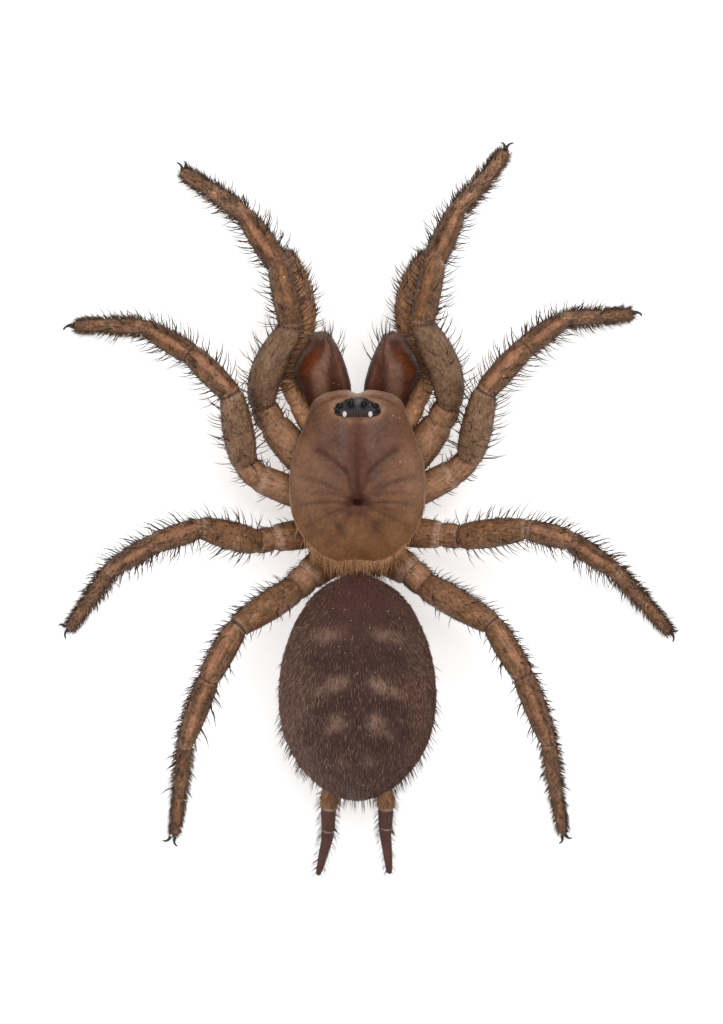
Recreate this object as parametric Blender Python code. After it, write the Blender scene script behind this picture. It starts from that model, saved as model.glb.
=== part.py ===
# Tunnelweb spider: a still, life-size model in named solids.
# Sizes are in millimetres, and each mesh is scaled to metres when it is finished.
# The spider faces -Y, its left side is +X, and the floor is z = 0.
import math
import random

import bpy
import bmesh
from mathutils import Matrix, Vector
from mathutils.bvhtree import BVHTree

MM = 0.001
# Neighbouring parts meet face to face across this gap. The narrowest limb is 0.3 wide.
GAP = 0.05
UP = Vector((0, 0, 1))
SIDES = 8
SEED = 7

# Carapace and the body under it
CARAPACE_FRONT = -2.77
CARAPACE_REAR = 1.29
CARAPACE_RIM = 1.62
CARAPACE_UNDER = 1.55
STERNUM_LOW = 0.52
STERNUM_HIGH = 1.48
TUBERCLE = Vector((0.0, -2.35, 2.24))
TUBERCLE_SIZE = Vector((0.55, 0.24, 0.2))

# A bristle: its sides, how deep its root is sunk, and how clear it stays of other nodes
BRISTLE_SIDES = 3
BRISTLE_ROOT = 0.05
BRISTLE_SUNK = 0.09
BRISTLE_CLEAR = 0.05

# Abdomen and spinnerets
ABDOMEN_FRONT = 1.5
ABDOMEN_REAR = 6.88
ABDOMEN_LOW = 0.42
ABDOMEN_HIGH = 3.5

# A foot's centre stands this high, so that its rounded sole is a small flat on the floor
FOOT_HEIGHT = 0.12

SEGMENTS = ("coxa", "trochanter", "femur", "patella", "tibia", "metatarsus", "tarsus")
# Of each pair of legs: where the hip is (out, back, height), the seven lengths, the widths at
# the eight ends of the segments, and the widths at the middle of the seven segments.
PAIRS = {
    1: {"hip": (1.10, -0.87, 0.98),
        "length": (1.42, 0.54, 2.18, 1.54, 1.62, 1.38, 0.80),
        "joint": (0.60, 0.66, 0.58, 0.52, 0.54, 0.42, 0.34, 0.24),
        "middle": (0.78, 0.66, 0.80, 0.62, 0.60, 0.44, 0.35)},
    2: {"hip": (0.93, -0.12, 0.98),
        "length": (1.52, 0.50, 1.84, 1.36, 1.44, 1.22, 0.78),
        "joint": (0.58, 0.64, 0.56, 0.50, 0.50, 0.38, 0.32, 0.22),
        "middle": (0.72, 0.62, 0.75, 0.60, 0.54, 0.39, 0.32)},
    3: {"hip": (0.77, 0.54, 0.98),
        "length": (1.22, 0.46, 1.68, 1.12, 1.44, 1.24, 1.02),
        "joint": (0.52, 0.58, 0.54, 0.46, 0.46, 0.38, 0.31, 0.22),
        "middle": (0.72, 0.60, 0.69, 0.56, 0.51, 0.38, 0.30)},
    4: {"hip": (0.51, 1.08, 0.98),
        "length": (0.87, 0.48, 1.93, 1.40, 1.84, 1.52, 1.04),
        "joint": (0.46, 0.58, 0.56, 0.50, 0.52, 0.40, 0.32, 0.22),
        "middle": (0.66, 0.62, 0.77, 0.62, 0.58, 0.40, 0.31)},
}
# How much deeper than wide each segment is
DEPTH = (1.0, 1.0, 1.14, 1.06, 1.02, 1.0, 1.0)
# How far the middle of each segment bows upward
BOW = (0.0, 0.0, 0.07, 0.05, 0.03, 0.02, 0.02)
# How far the middle of a femur bows backward seen from above, by pair of legs
FEMUR_SWAY = {1: 0.20, 2: 0.0, 3: 0.0, 4: 0.0}
# Of each leg: the side, and the headings and lifts of its segments in degrees. A heading is
# measured from straight out towards the head. The metatarsus comes down to plant the foot.
LEGS = {
    "left_1": (1, 1, (51, 62, 111, 79, 56, 36, 33), (5, 16, 29, -12, -25, -37, -26)),
    "right_1": (-1, 1, (54, 63, 109, 79, 66, 48, 55), (5, 29, 26, -6, -33, -39, -20)),
    "left_2": (1, 2, (23, 45, 80, 45, 30, 3, -2), (4, 16, 27, -13, -24, -39, -21)),
    "right_2": (-1, 2, (28, 42, 77, 48, 36, 4, 5), (4, 16, 28, -2, -34, -42, -24)),
    "left_3": (1, 3, (-8, -13, 15, -19, -30, -54, -55), (5, 24, 37, -2, -34, -42, -28)),
    "right_3": (-1, 3, (-4, -7, 7, -14, -34, -47, -49), (5, 15, 25, -16, -24, -41, -8)),
    "left_4": (1, 4, (-38, -44, -33, -61, -70, -83, -83), (5, 24, 36, -9, -27, -35, -20)),
    "right_4": (-1, 4, (-29, -44, -30, -59, -69, -81, -80), (4, 14, 21, 8, -22, -37, -19)),
}
# The nodes of a leg: the first and last segment of each
LEG_NODES = {
    "coxa_trochanter": (0, 1),
    "femur": (2, 2),
    "patella_tibia": (3, 4),
    "metatarsus_tarsus": (5, 6),
}
# The palps have no metatarsus: coxa, trochanter, femur, patella, tibia and tarsus
PALP = {"hip": (0.78, -1.42, 0.92),
        "length": (1.16, 0.72, 1.12, 0.80, 0.96, 0.66),
        "joint": (0.44, 0.46, 0.42, 0.42, 0.44, 0.40, 0.20),
        "middle": (0.56, 0.48, 0.50, 0.50, 0.48, 0.34)}
PALPS = {
    "left_palp": (1, (61, 52, 115, 92, 70, 62), (2, 6, 6, -10, -42, -28)),
    "right_palp": (-1, (61, 54, 118, 95, 70, 58), (2, 6, 6, -10, -42, -28)),
}
PALP_SEGMENTS = ("coxa", "trochanter", "femur", "patella", "tibia", "tarsus")
PALP_NODES = {"coxa_trochanter": (0, 1), "femur_patella": (2, 3), "tibia_tarsus": (4, 5)}
PALP_DEPTH = (1.0, 1.0, 1.08, 1.0, 1.0, 1.0)

COLOURS = {
    "carapace_brown": ((0.20, 0.095, 0.055), 0.35),
    "leg_brown": ((0.26, 0.125, 0.05), 0.4),
    "jaw_red_brown": ((0.075, 0.02, 0.014), 0.25),
    "fang_black": ((0.02, 0.008, 0.006), 0.15),
    "eye_black": ((0.006, 0.006, 0.008), 0.08),
    "eye_pearl": ((0.62, 0.60, 0.56), 0.12),
    "abdomen_brown": ((0.055, 0.028, 0.028), 0.75),
    "sternum_tan": ((0.32, 0.18, 0.08), 0.45),
    "spinneret_brown": ((0.24, 0.12, 0.06), 0.6),
}


def start_clean():
    """Empty the scene and make the collections."""
    for old in list(bpy.data.objects):
        bpy.data.objects.remove(old, do_unlink=True)
    made = bpy.data.collections.new("tunnelweb_spider")
    bpy.context.scene.collection.children.link(made)
    tools = bpy.data.collections.new("cutters")
    bpy.context.scene.collection.children.link(tools)
    return made, tools


PARTS, CUTTERS = start_clean()
RANDOM = random.Random(SEED)


def material(name):
    """The shared material of that name, made when it is first asked for."""
    found = bpy.data.materials.get(name)
    if found:
        return found
    colour, roughness = COLOURS[name]
    made = bpy.data.materials.new(name)
    made.use_nodes = True
    shader = made.node_tree.nodes["Principled BSDF"]
    shader.inputs["Base Color"].default_value = (*colour, 1.0)
    shader.inputs["Roughness"].default_value = roughness
    return made


def object_of(name, bm, finish=None, where=None):
    """An object from a bmesh, with its faces outward."""
    bmesh.ops.recalc_face_normals(bm, faces=bm.faces)
    mesh = bpy.data.meshes.new(name)
    bm.to_mesh(mesh)
    bm.free()
    made = bpy.data.objects.new(name, mesh)
    (where or PARTS).objects.link(made)
    if finish:
        mesh.materials.append(material(finish))
    return made


def loft(rings):
    """A closed bmesh through rings of as many points each."""
    bm = bmesh.new()
    rows = [[bm.verts.new(p) for p in ring] for ring in rings]
    count = len(rows[0])
    for a, b in zip(rows, rows[1:]):
        for i in range(count):
            j = (i + 1) % count
            bm.faces.new((a[i], a[j], b[j], b[i]))
    bm.faces.new(list(reversed(rows[0])))
    bm.faces.new(rows[-1])
    return bm


def ellipse(centre, side, up, half_width, half_depth, sides=SIDES, turn=0.5):
    """One ring, kept on or above the floor."""
    ring = []
    for i in range(sides):
        a = 2 * math.pi * (i + turn) / sides
        p = centre + side * (half_width * math.cos(a)) + up * (half_depth * math.sin(a))
        p.z = max(p.z, 0.0)
        ring.append(p)
    return ring


def ellipsoid(centre, size, segments=10, rings=6):
    """A closed ellipsoid as a bmesh, size being its half axes."""
    bm = bmesh.new()
    bmesh.ops.create_uvsphere(bm, u_segments=segments, v_segments=rings, radius=1.0)
    bmesh.ops.scale(bm, vec=size, verts=bm.verts)
    bmesh.ops.translate(bm, vec=centre, verts=bm.verts)
    return bm


def largest_only(obj):
    """Keep the largest closed surface of an object."""
    bm = bmesh.new()
    bm.from_mesh(obj.data)
    unseen = set(bm.verts)
    shells = []
    while unseen:
        stack = [unseen.pop()]
        shell = set(stack)
        while stack:
            for edge in stack.pop().link_edges:
                for vert in edge.verts:
                    if vert in unseen:
                        unseen.discard(vert)
                        shell.add(vert)
                        stack.append(vert)
        shells.append(shell)
    shells.sort(key=len)
    for shell in shells[:-1]:
        bmesh.ops.delete(bm, geom=list(shell), context="VERTS")
    bmesh.ops.triangulate(bm, faces=bm.faces)
    bm.to_mesh(obj.data)
    bm.free()


def is_closed(mesh):
    """Whether every edge of a mesh lies between two faces."""
    bm = bmesh.new()
    bm.from_mesh(mesh)
    closed = all(len(edge.link_faces) == 2 for edge in bm.edges)
    bm.free()
    return closed


def boolean(obj, tools, operation):
    """Apply one Boolean of a list of closed objects and remove them."""
    if not tools:
        return obj
    folder = bpy.data.collections.new("cut_" + obj.name)
    CUTTERS.children.link(folder)
    for tool in tools:
        for holder in list(tool.users_collection):
            holder.objects.unlink(tool)
        folder.objects.link(tool)
    modifier = obj.modifiers.new("join", "BOOLEAN")
    modifier.operation = operation
    modifier.operand_type = "COLLECTION"
    modifier.collection = folder
    for solver in ("EXACT", "MANIFOLD"):
        modifier.solver = solver
        bpy.context.view_layer.update()
        graph = bpy.context.evaluated_depsgraph_get()
        made = bpy.data.meshes.new_from_object(obj.evaluated_get(graph))
        if is_closed(made):
            break
    obj.modifiers.clear()
    old = obj.data
    obj.data = made
    made.name = old.name
    bpy.data.meshes.remove(old)
    for tool in tools:
        bpy.data.objects.remove(tool, do_unlink=True)
    bpy.data.collections.remove(folder)
    largest_only(obj)
    return obj


def heading_vector(side, heading, lift):
    """Unit vector of a segment from its heading and lift in degrees."""
    h = math.radians(heading)
    e = math.radians(lift)
    return Vector((side * math.cos(h) * math.cos(e), -math.sin(h) * math.cos(e), math.sin(e)))


class Limb:
    """A leg or palp as a path of straight segments with widths along it."""

    def __init__(self, side, sizes, headings, lifts, depth, planted, sway=0.0):
        self.side = side
        self.sway = sway
        self.depth = depth
        self.joint = sizes["joint"]
        self.middle = sizes["middle"]
        out, back, height = sizes["hip"]
        points = [Vector((side * out, back, height))]
        lengths = sizes["length"]
        lifts = list(lifts)
        heights = height
        for i, length in enumerate(lengths):
            if i != planted:
                heights += length * math.sin(math.radians(lifts[i]))
        # The planted segment takes up whatever drop is left above the floor
        share = (FOOT_HEIGHT - heights) / lengths[planted]
        lifts[planted] = math.degrees(math.asin(max(-0.98, min(0.98, share))))
        for length, heading, lift in zip(lengths, headings, lifts):
            points.append(points[-1] + heading_vector(side, heading, lift) * length)
        self.points = points
        self.count = len(lengths)
        self.ways = [(b - a).normalized() for a, b in zip(points, points[1:])]

    def frame(self, way):
        """Sideways and upward unit vectors across a direction."""
        across = way.cross(UP).normalized()
        return across, across.cross(way).normalized()

    def size(self, segment, t):
        """Half width and half depth of a segment at the fraction t of its length."""
        a, b = self.joint[segment], self.joint[segment + 1]
        swell = math.sin(math.pi * min(max(t, 0.0), 1.0)) ** 0.55
        width = a + (b - a) * t + (self.middle[segment] - (a + b) / 2) * swell
        depth_here = 1 + (self.depth[segment] - 1) * swell
        return width / 2, width * depth_here / 2

    def centre(self, segment, t):
        """Point of the middle line, bowed upward."""
        a, b = self.points[segment], self.points[segment + 1]
        bow = BOW[segment] if self.count == len(BOW) else 0.0
        across, up = self.frame(self.ways[segment])
        sway = -self.side * self.sway if segment == 2 else 0.0
        return a.lerp(b, t) + (up * bow + across * sway) * math.sin(math.pi * t)

    def bend(self, i):
        """Direction of the plane at joint i, halfway between its two segments."""
        if i == 0:
            return self.ways[0]
        if i == self.count:
            return self.ways[-1]
        return (self.ways[i - 1] + self.ways[i]).normalized()

    def joint_ring(self, i, shift, sides, grow=0.0):
        """Ring in the plane of joint i, moved along the limb by shift."""
        way = self.bend(i)
        across, up = self.frame(way)
        half = self.joint[i] / 2 + grow
        return ellipse(self.points[i] + way * shift, across, up, half, half, sides)

    def rings(self, first, last, sides=SIDES, grow=0.0, steps=(0.2, 0.5, 0.82)):
        """All the rings of the segments first to last."""
        made = [self.joint_ring(first, GAP / 2 - grow if first else -grow, sides, grow)]
        for segment in range(first, last + 1):
            for t in steps if segment != 1 else steps[1:2]:
                half_width, half_depth = self.size(segment, t)
                across, up = self.frame(self.ways[segment])
                made.append(ellipse(self.centre(segment, t), across, up,
                                    half_width + grow, half_depth + grow, sides))
            end = segment + 1
            if end == self.count:
                made.append(self.joint_ring(end, 0.0, sides, grow))
            else:
                made.append(self.joint_ring(end, grow - GAP / 2 if segment == last else 0.0,
                                            sides, grow))
        return made

    def surface(self, segment, t, angle):
        """Point on the skin, its outward direction and the way along the limb."""
        half_width, half_depth = self.size(segment, t)
        across, up = self.frame(self.ways[segment])
        c, s = math.cos(angle), math.sin(angle)
        point = self.centre(segment, t) + across * (half_width * c) + up * (half_depth * s)
        out = (across * (c / half_width) + up * (s / half_depth)).normalized()
        return point, out, self.ways[segment]


def horn(points, radii, sides=6, across=None, pointed=False):
    """A tapering closed shape through points, such as a claw or a bristle."""
    rings = []
    for i, (point, radius) in enumerate(zip(points, radii)):
        way = (points[min(i + 1, len(points) - 1)] - points[max(i - 1, 0)]).normalized()
        side = way.cross(across or UP)
        if side.length < 0.1:
            side = way.cross(Vector((1, 0, 0)))
        side.normalize()
        up = side.cross(way).normalized()
        rings.append([point + side * (radius * math.cos(2 * math.pi * k / sides))
                      + up * (radius * math.sin(2 * math.pi * k / sides)) for k in range(sides)])
    bm = loft(rings[:-1] if pointed else rings)
    if pointed:
        bm.verts.ensure_lookup_table()
        end = bm.verts[-sides:]
        bm.faces.remove(next(f for f in bm.faces if set(f.verts) == set(end)))
        tip = bm.verts.new(points[-1])
        for k in range(sides):
            bm.faces.new((end[k], end[(k + 1) % sides], tip))
    return bm


def claws(limb):
    """The paired curved claws at the end of a foot."""
    tip = limb.points[-1]
    way = Vector((limb.ways[-1].x, limb.ways[-1].y, 0)).normalized()
    across = way.cross(UP)
    made = []
    for sign in (-1, 1):
        start = tip - way * 0.1 + across * (0.04 * sign)
        path = [start, start + way * 0.19 + across * (0.03 * sign) + UP * 0.045,
                start + way * 0.29 + across * (0.05 * sign),
                start + way * 0.32 + across * (0.04 * sign) - UP * 0.08]
        made.append(object_of("claw", horn(path, (0.045, 0.04, 0.03, 0.012), 4), None, CUTTERS))
    return made


def make_limb(name, limb, nodes, finish, with_claws):
    """The nodes of one limb, without their bristles."""
    for node, (first, last) in nodes.items():
        body = object_of(name + "_" + node, loft(limb.rings(first, last)), finish)
        if with_claws and last == limb.count - 1:
            boolean(body, claws(limb), "UNION")


class Bristles:
    """Bristles waiting to be joined to their nodes, each kept clear of every other node."""

    def __init__(self):
        self.trees = {}
        for part in PARTS.objects:
            bm = bmesh.new()
            bm.from_mesh(part.data)
            self.trees[part.name] = BVHTree.FromBMesh(bm)
            bm.free()
        self.tools = {}
        self.paths = []

    def is_clear(self, owner, path):
        """Whether a path stays clear of the other nodes and of their bristles."""
        for name, tree in self.trees.items():
            if name != owner and any(tree.find_nearest(p, BRISTLE_CLEAR * 1.6)[0] for p in path):
                return False
        for name, other in self.paths:
            if name != owner and min((a - b).length for a in path for b in other) < 0.11:
                return False
        return True

    def add(self, owner, root, out, along, length, lean, width=BRISTLE_ROOT):
        """A tapering bristle that leans along the lie of the coat and curves towards it."""
        lean_angle = math.radians(lean)
        way = out * math.cos(lean_angle) + along * math.sin(lean_angle)
        lying = (way + along * 0.55).normalized()
        middle = root + way * (length * 0.5)
        tip = middle + lying * (length * 0.5)
        if min(middle.z, tip.z) < 0.07 or not self.is_clear(owner, [root + way * 0.04, middle, tip]):
            return
        self.paths.append((owner, [middle, tip]))
        path = [root - way * BRISTLE_SUNK, middle, tip]
        shape = horn(path, (width, width * 0.7, 0.0), BRISTLE_SIDES, pointed=True)
        self.tools.setdefault(owner, []).append(object_of("bristle", shape, None, CUTTERS))

    def join(self):
        """Join every bristle to the node it grows from."""
        for owner, tools in self.tools.items():
            boolean(PARTS.objects[owner], tools, "UNION")


# Of each segment that carries bristles: the fractions of its length between which they stand,
# how many in a row, the angles of the rows from the side over the top, and the length
LEG_BRISTLES = {
    "femur": (0.22, 0.80, 3, (12, 168, 250), 0.42),
    "patella": (0.24, 0.78, 2, (8, 172, 300), 0.46),
    "tibia": (0.14, 0.80, 3, (-4, 28, 152, 184, 270), 0.50),
    "metatarsus": (0.12, 0.86, 3, (-15, 60, 195), 0.36),
    "tarsus": (0.15, 0.62, 2, (-5, 185), 0.27),
}
PALP_BRISTLES = {
    "femur": (0.3, 0.75, 2, (0, 180), 0.24),
    "patella": (0.25, 0.75, 2, (0, 180), 0.28),
    "tibia": (0.15, 0.85, 3, (0, 180), 0.28),
    "tarsus": (0.2, 0.7, 1, (0, 180), 0.22),
}


def limb_bristles(bristles, name, limb, nodes, rows, segments):
    """Rows of bristles along a limb, each set a little differently."""
    for node, (first, last) in nodes.items():
        for segment in range(first, last + 1):
            if segments[segment] not in rows:
                continue
            start, end, count, angles, length = rows[segments[segment]]
            for row, angle in enumerate(angles):
                for i in range(count):
                    share = (i + 0.5 * (row % 2) + RANDOM.uniform(0.1, 0.4)) / count
                    t = start + (end - start) * min(share, 1.0)
                    turn = math.radians(angle + RANDOM.uniform(-9, 9))
                    point, out, along = limb.surface(segment, t, turn)
                    bristles.add(name + "_" + node, point, out, along,
                                 length * RANDOM.uniform(0.85, 1.15), RANDOM.uniform(30, 44))


def body_bristles(bristles):
    """The fringes of the abdomen, the carapace, the jaws and the spinnerets."""
    back = Vector((0, 1, 0))
    for side in (-1, 1):
        for row, (rise, count) in enumerate(((-0.30, 6), (0.05, 9), (0.42, 6))):
            for i in range(count):
                t = 0.30 + 0.66 * (i + 0.4 * row) / count
                ring = abdomen_ring(t)
                middle = sum(ring, Vector()) / len(ring)
                half = abdomen_half_width(t)
                rim = Vector((side * half * math.cos(rise), middle.y, middle.z + 1.3 * math.sin(rise)))
                near, normal, _, _ = bristles.trees["abdomen"].find_nearest(rim)
                bristles.add("abdomen", near, normal, back, RANDOM.uniform(0.34, 0.44),
                             RANDOM.uniform(60, 68), 0.055)
        for i in range(3):
            point = Vector((side * (0.10 + 0.22 * i), CARAPACE_REAR - 0.05 - 0.05 * i, 1.72))
            near, normal, _, _ = bristles.trees["carapace"].find_nearest(point)
            bristles.add("carapace", near, normal, back, 0.24, 30, 0.045)
        word = "left" if side > 0 else "right"
        jaw = "chelicera_" + word
        for x, y, z in ((0.92, -4.1, 1.5), (0.72, -4.1, 1.6), (0.60, -4.0, 1.8), (0.50, -3.9, 1.4),
                        (0.40, -3.7, 1.8), (0.85, -3.85, 1.9)):
            near, normal, _, _ = bristles.trees[jaw].find_nearest(Vector((side * x, y, z)))
            bristles.add(jaw, near, normal, -back, RANDOM.uniform(0.36, 0.5), 40, 0.045)
        tail = "spinneret_long_" + word
        for i in range(8):
            point = LONG_SPINNERETS[word][3 + i // 4]
            aside = 1 if i % 2 else -1
            out = Vector((aside, 0, 0.2)).normalized()
            start = Vector(point) + back * (0.11 * (i % 4)) + out * 0.25
            near, normal, _, _ = bristles.trees[tail].find_nearest(start)
            bristles.add(tail, near, normal, back, 0.2, 42, 0.04)


def carapace_half_width(y):
    """Half the width of the carapace at y, from the outline seen from above."""
    stations = ((-2.77, 0.80), (-2.62, 0.94), (-2.32, 1.13), (-1.81, 1.33), (-1.50, 1.47),
                (-0.92, 1.60), (-0.47, 1.615), (0.0, 1.57), (0.45, 1.43), (0.86, 1.12),
                (1.12, 0.78), (1.29, 0.40))
    for (y0, w0), (y1, w1) in zip(stations, stations[1:]):
        if y <= y1:
            return w0 + (w1 - w0) * (y - y0) / (y1 - y0)
    return stations[-1][1]


def carapace_top(y):
    """Height of the middle line of the carapace at y."""
    stations = ((-2.77, 2.02), (-2.4, 2.24), (-1.9, 2.36), (-1.2, 2.36), (-0.3, 2.22),
                (0.4, 2.08), (0.9, 1.93), (1.29, 1.76))
    for (y0, z0), (y1, z1) in zip(stations, stations[1:]):
        if y <= y1:
            return z0 + (z1 - z0) * (y - y0) / (y1 - y0)
    return stations[-1][1]


def carapace_ring(y, grow=0.0, count=18):
    """One cross-section of the carapace: a low dome above a flat underside."""
    half = carapace_half_width(y) + grow
    top = carapace_top(y) + grow - CARAPACE_RIM
    ring = []
    for i in range(count):
        a = 2 * math.pi * (i + 0.5) / count
        c, s = math.cos(a), math.sin(a)
        x = half * math.copysign(abs(c) ** 0.8, c)
        if s > 0:
            z = CARAPACE_RIM + top * s ** 0.9
        else:
            z = CARAPACE_RIM - (CARAPACE_RIM - CARAPACE_UNDER + grow) * min(1.0, -s * 3)
        # The front edge has two shallow lobes and a notch between them
        lobe = 0.10 * math.exp(-(x / 0.28) ** 2) if y < CARAPACE_FRONT + 0.01 else 0.0
        ring.append(Vector((x, y + lobe, z)))
    return ring


def make_carapace():
    """The carapace with the eye tubercle and sockets for the eyes."""
    stations = [CARAPACE_FRONT, -2.66, -2.5, -2.25, -1.9, -1.5, -1.0, -0.5, 0.0, 0.4, 0.75,
                1.02, 1.2, CARAPACE_REAR]
    body = object_of("carapace", loft([carapace_ring(y) for y in stations]), "carapace_brown")
    mound = object_of("mound", ellipsoid(TUBERCLE, TUBERCLE_SIZE, 14, 6), None, CUTTERS)
    boolean(body, [mound], "UNION")
    return body


# Of each pair of eyes: out, along, and the half axes across and along; then the finish
EYES = {
    "anterior_median": (0.145, -2.43, 0.085, 0.085, "eye_black"),
    "anterior_lateral": (0.415, -2.42, 0.10, 0.075, "eye_black"),
    "posterior_lateral": (0.445, -2.26, 0.09, 0.06, "eye_black"),
    "posterior_median": (0.300, -2.20, 0.062, 0.085, "eye_pearl"),
}
EYE_GAP = 0.02


def tubercle_height(x, y):
    """Height of the tubercle at a point seen from above."""
    dx = (x - TUBERCLE.x) / TUBERCLE_SIZE.x
    dy = (y - TUBERCLE.y) / TUBERCLE_SIZE.y
    return TUBERCLE.z + TUBERCLE_SIZE.z * math.sqrt(max(0.04, 1 - dx * dx - dy * dy))


def make_eyes(carapace):
    """Eight eyes, each sunk in a socket of the tubercle."""
    sockets = []
    for name, (out, along, half_x, half_y, finish) in EYES.items():
        for word, side in (("left", 1), ("right", -1)):
            centre = Vector((side * out, along, tubercle_height(out, along) - 0.02))
            size = Vector((half_x, half_y, (half_x + half_y) / 2))
            object_of("eye_" + word + "_" + name, ellipsoid(centre, size, 8, 5), finish)
            bigger = size + Vector((EYE_GAP, EYE_GAP, EYE_GAP))
            sockets.append(object_of("socket", ellipsoid(centre, bigger, 8, 5), None, CUTTERS))
    boolean(carapace, sockets, "DIFFERENCE")


# Cross-sections of a jaw from back to front: y, inner edge, outer edge, low, high
JAW = ((-2.30, 0.20, 1.04, 0.98, 1.60), (-2.58, 0.13, 1.16, 0.92, 1.95),
       (-2.80, 0.13, 1.30, 0.86, 2.12), (-3.27, 0.22, 1.46, 0.84, 2.20),
       (-3.55, 0.33, 1.36, 0.86, 2.12), (-3.87, 0.47, 1.16, 0.92, 1.90),
       (-4.06, 0.64, 1.04, 1.00, 1.66), (-4.157, 0.78, 0.92, 1.12, 1.44))
FANG_LOW = 0.70


def make_jaws():
    """The two jaws, cut clear of the carapace, with a fang folded under each."""
    for word, side in (("left", 1), ("right", -1)):
        rings = []
        for y, inner, outer, low, high in JAW:
            centre = Vector((side * (inner + outer) / 2, y, (low + high) / 2))
            rings.append(ellipse(centre, Vector((1, 0, 0)), UP, (outer - inner) / 2,
                                 (high - low) / 2, 16))
        body = object_of("chelicera_" + word, loft(rings), "jaw_red_brown")
        stations = [-2.77, -2.66, -2.5, -2.25, -1.9]
        cutter = object_of("cutter", loft([carapace_ring(y - GAP, GAP) for y in stations]),
                           None, CUTTERS)
        boolean(body, [cutter], "DIFFERENCE")
        path = [Vector((side * x, y, z)) for x, y, z in
                ((0.86, -4.02, 0.92), (0.84, -3.98, 0.76), (0.80, -3.78, FANG_LOW - 0.02),
                 (0.76, -3.45, FANG_LOW), (0.72, -3.1, FANG_LOW - 0.02), (0.70, -2.86, FANG_LOW - 0.06))]
        object_of("fang_" + word, horn(path, (0.12, 0.12, 0.10, 0.08, 0.05, 0.015), 8),
                  "fang_black")


def make_underbody(coxae):
    """Sternum, lip and pedicel, cut clear of the legs' first segments."""
    rings = []
    for y, half in ((-1.30, 0.42), (-1.20, 0.62), (-0.9, 0.86), (-0.3, 0.9), (0.3, 0.86),
                    (0.8, 0.72), (1.12, 0.46), (1.22, 0.26)):
        rings.append([Vector((half * x, y, z)) for x, z in
                      ((0.55, STERNUM_LOW), (0.9, STERNUM_LOW + 0.1), (1.0, 0.8),
                       (1.0, STERNUM_HIGH), (-1.0, STERNUM_HIGH), (-1.0, 0.8),
                       (-0.9, STERNUM_LOW + 0.1), (-0.55, STERNUM_LOW))])
    body = object_of("sternum", loft(rings), "sternum_tan")
    boolean(body, coxae, "DIFFERENCE")
    lip = [ellipse(Vector((0, y, 0.82)), Vector((1, 0, 0)), UP, half, 0.24, 12)
           for y, half in ((-1.32 - GAP, 0.34), (-1.5, 0.33), (-1.66, 0.26), (-1.74, 0.15))]
    object_of("labium", loft(lip), "sternum_tan")
    neck = [ellipse(Vector((0, y, z)), Vector((1, 0, 0)), UP, half, half, 12)
            for y, z, half in ((1.22 + GAP, 1.2, 0.20), (1.36, 1.28, 0.17), (1.5, 1.4, 0.17),
                               (1.62, 1.46, 0.2))]
    return object_of("pedicel", loft(neck), "carapace_brown")


def abdomen_half_width(t):
    """Half the width of the abdomen at the fraction t of its length."""
    stations = ((0.0, 0.30), (0.03, 0.60), (0.085, 1.00), (0.16, 1.34), (0.30, 1.66),
                (0.43, 1.81), (0.57, 1.854), (0.70, 1.785), (0.83, 1.46), (0.92, 1.02),
                (0.97, 0.66), (0.99, 0.40), (1.0, 0.18))
    for (t0, w0), (t1, w1) in zip(stations, stations[1:]):
        if t <= t1:
            return w0 + (w1 - w0) * (t - t0) / (t1 - t0)
    return stations[-1][1]


def abdomen_ring(t, count=20):
    """One cross-section of the abdomen, flatter below than above."""
    half = abdomen_half_width(t)
    y = ABDOMEN_FRONT + (ABDOMEN_REAR - ABDOMEN_FRONT) * t
    full = math.sqrt(max(0.0, 1 - (2 * t - 1) ** 2)) ** 0.9
    middle = 1.55 + 0.40 * math.sin(math.pi * t) - 0.25 * t
    high = 0.24 + (ABDOMEN_HIGH - 1.85 - 0.24) * full
    low = 0.24 + (1.85 - ABDOMEN_LOW - 0.24) * full
    ring = []
    for i in range(count):
        a = 2 * math.pi * (i + 0.5) / count
        c, s = math.cos(a), math.sin(a)
        ring.append(Vector((half * c, y, middle + (high if s > 0 else low) * s)))
    return ring


def make_abdomen(pedicel):
    """The abdomen, with the pedicel cut clear of it."""
    stations = [0.0, 0.03, 0.085, 0.16, 0.26, 0.36, 0.47, 0.57, 0.67, 0.77, 0.85, 0.92, 0.97,
                0.99, 1.0]
    object_of("abdomen", loft([abdomen_ring(t) for t in stations]), "abdomen_brown")
    grown = []
    for t in stations[:4]:
        middle = sum(abdomen_ring(t), Vector()) / 20
        grown.append([middle + (p - middle) * (1 + GAP * 2) - Vector((0, GAP, 0))
                      for p in abdomen_ring(t)])
    boolean(pedicel, [object_of("cutter", loft(grown), None, CUTTERS)], "DIFFERENCE")


# Of each spinneret: its path as (out, along, height) and its radii
LONG_SPINNERETS = {
    "left": ((0.62, 6.72, 1.28), (0.675, 6.95, 1.22), (0.68, 7.12, 1.18), (0.69, 7.50, 1.12),
             (0.695, 7.68, 1.08), (0.80, 8.2, 0.98), (0.915, 8.575, 0.90)),
    "right": ((-0.62, 6.72, 1.28), (-0.675, 6.95, 1.22), (-0.66, 7.12, 1.18), (-0.66, 7.45, 1.12),
              (-0.655, 7.60, 1.08), (-0.71, 8.15, 0.98), (-0.757, 8.55, 0.90)),
}
LONG_RADII = (0.19, 0.20, 0.165, 0.155, 0.135, 0.11, 0.035)
SHORT_PATH = ((0.20, 6.40, 0.95), (0.21, 6.62, 0.84), (0.20, 6.78, 0.76), (0.19, 6.86, 0.72))
SHORT_RADII = (0.13, 0.13, 0.10, 0.04)


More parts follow.
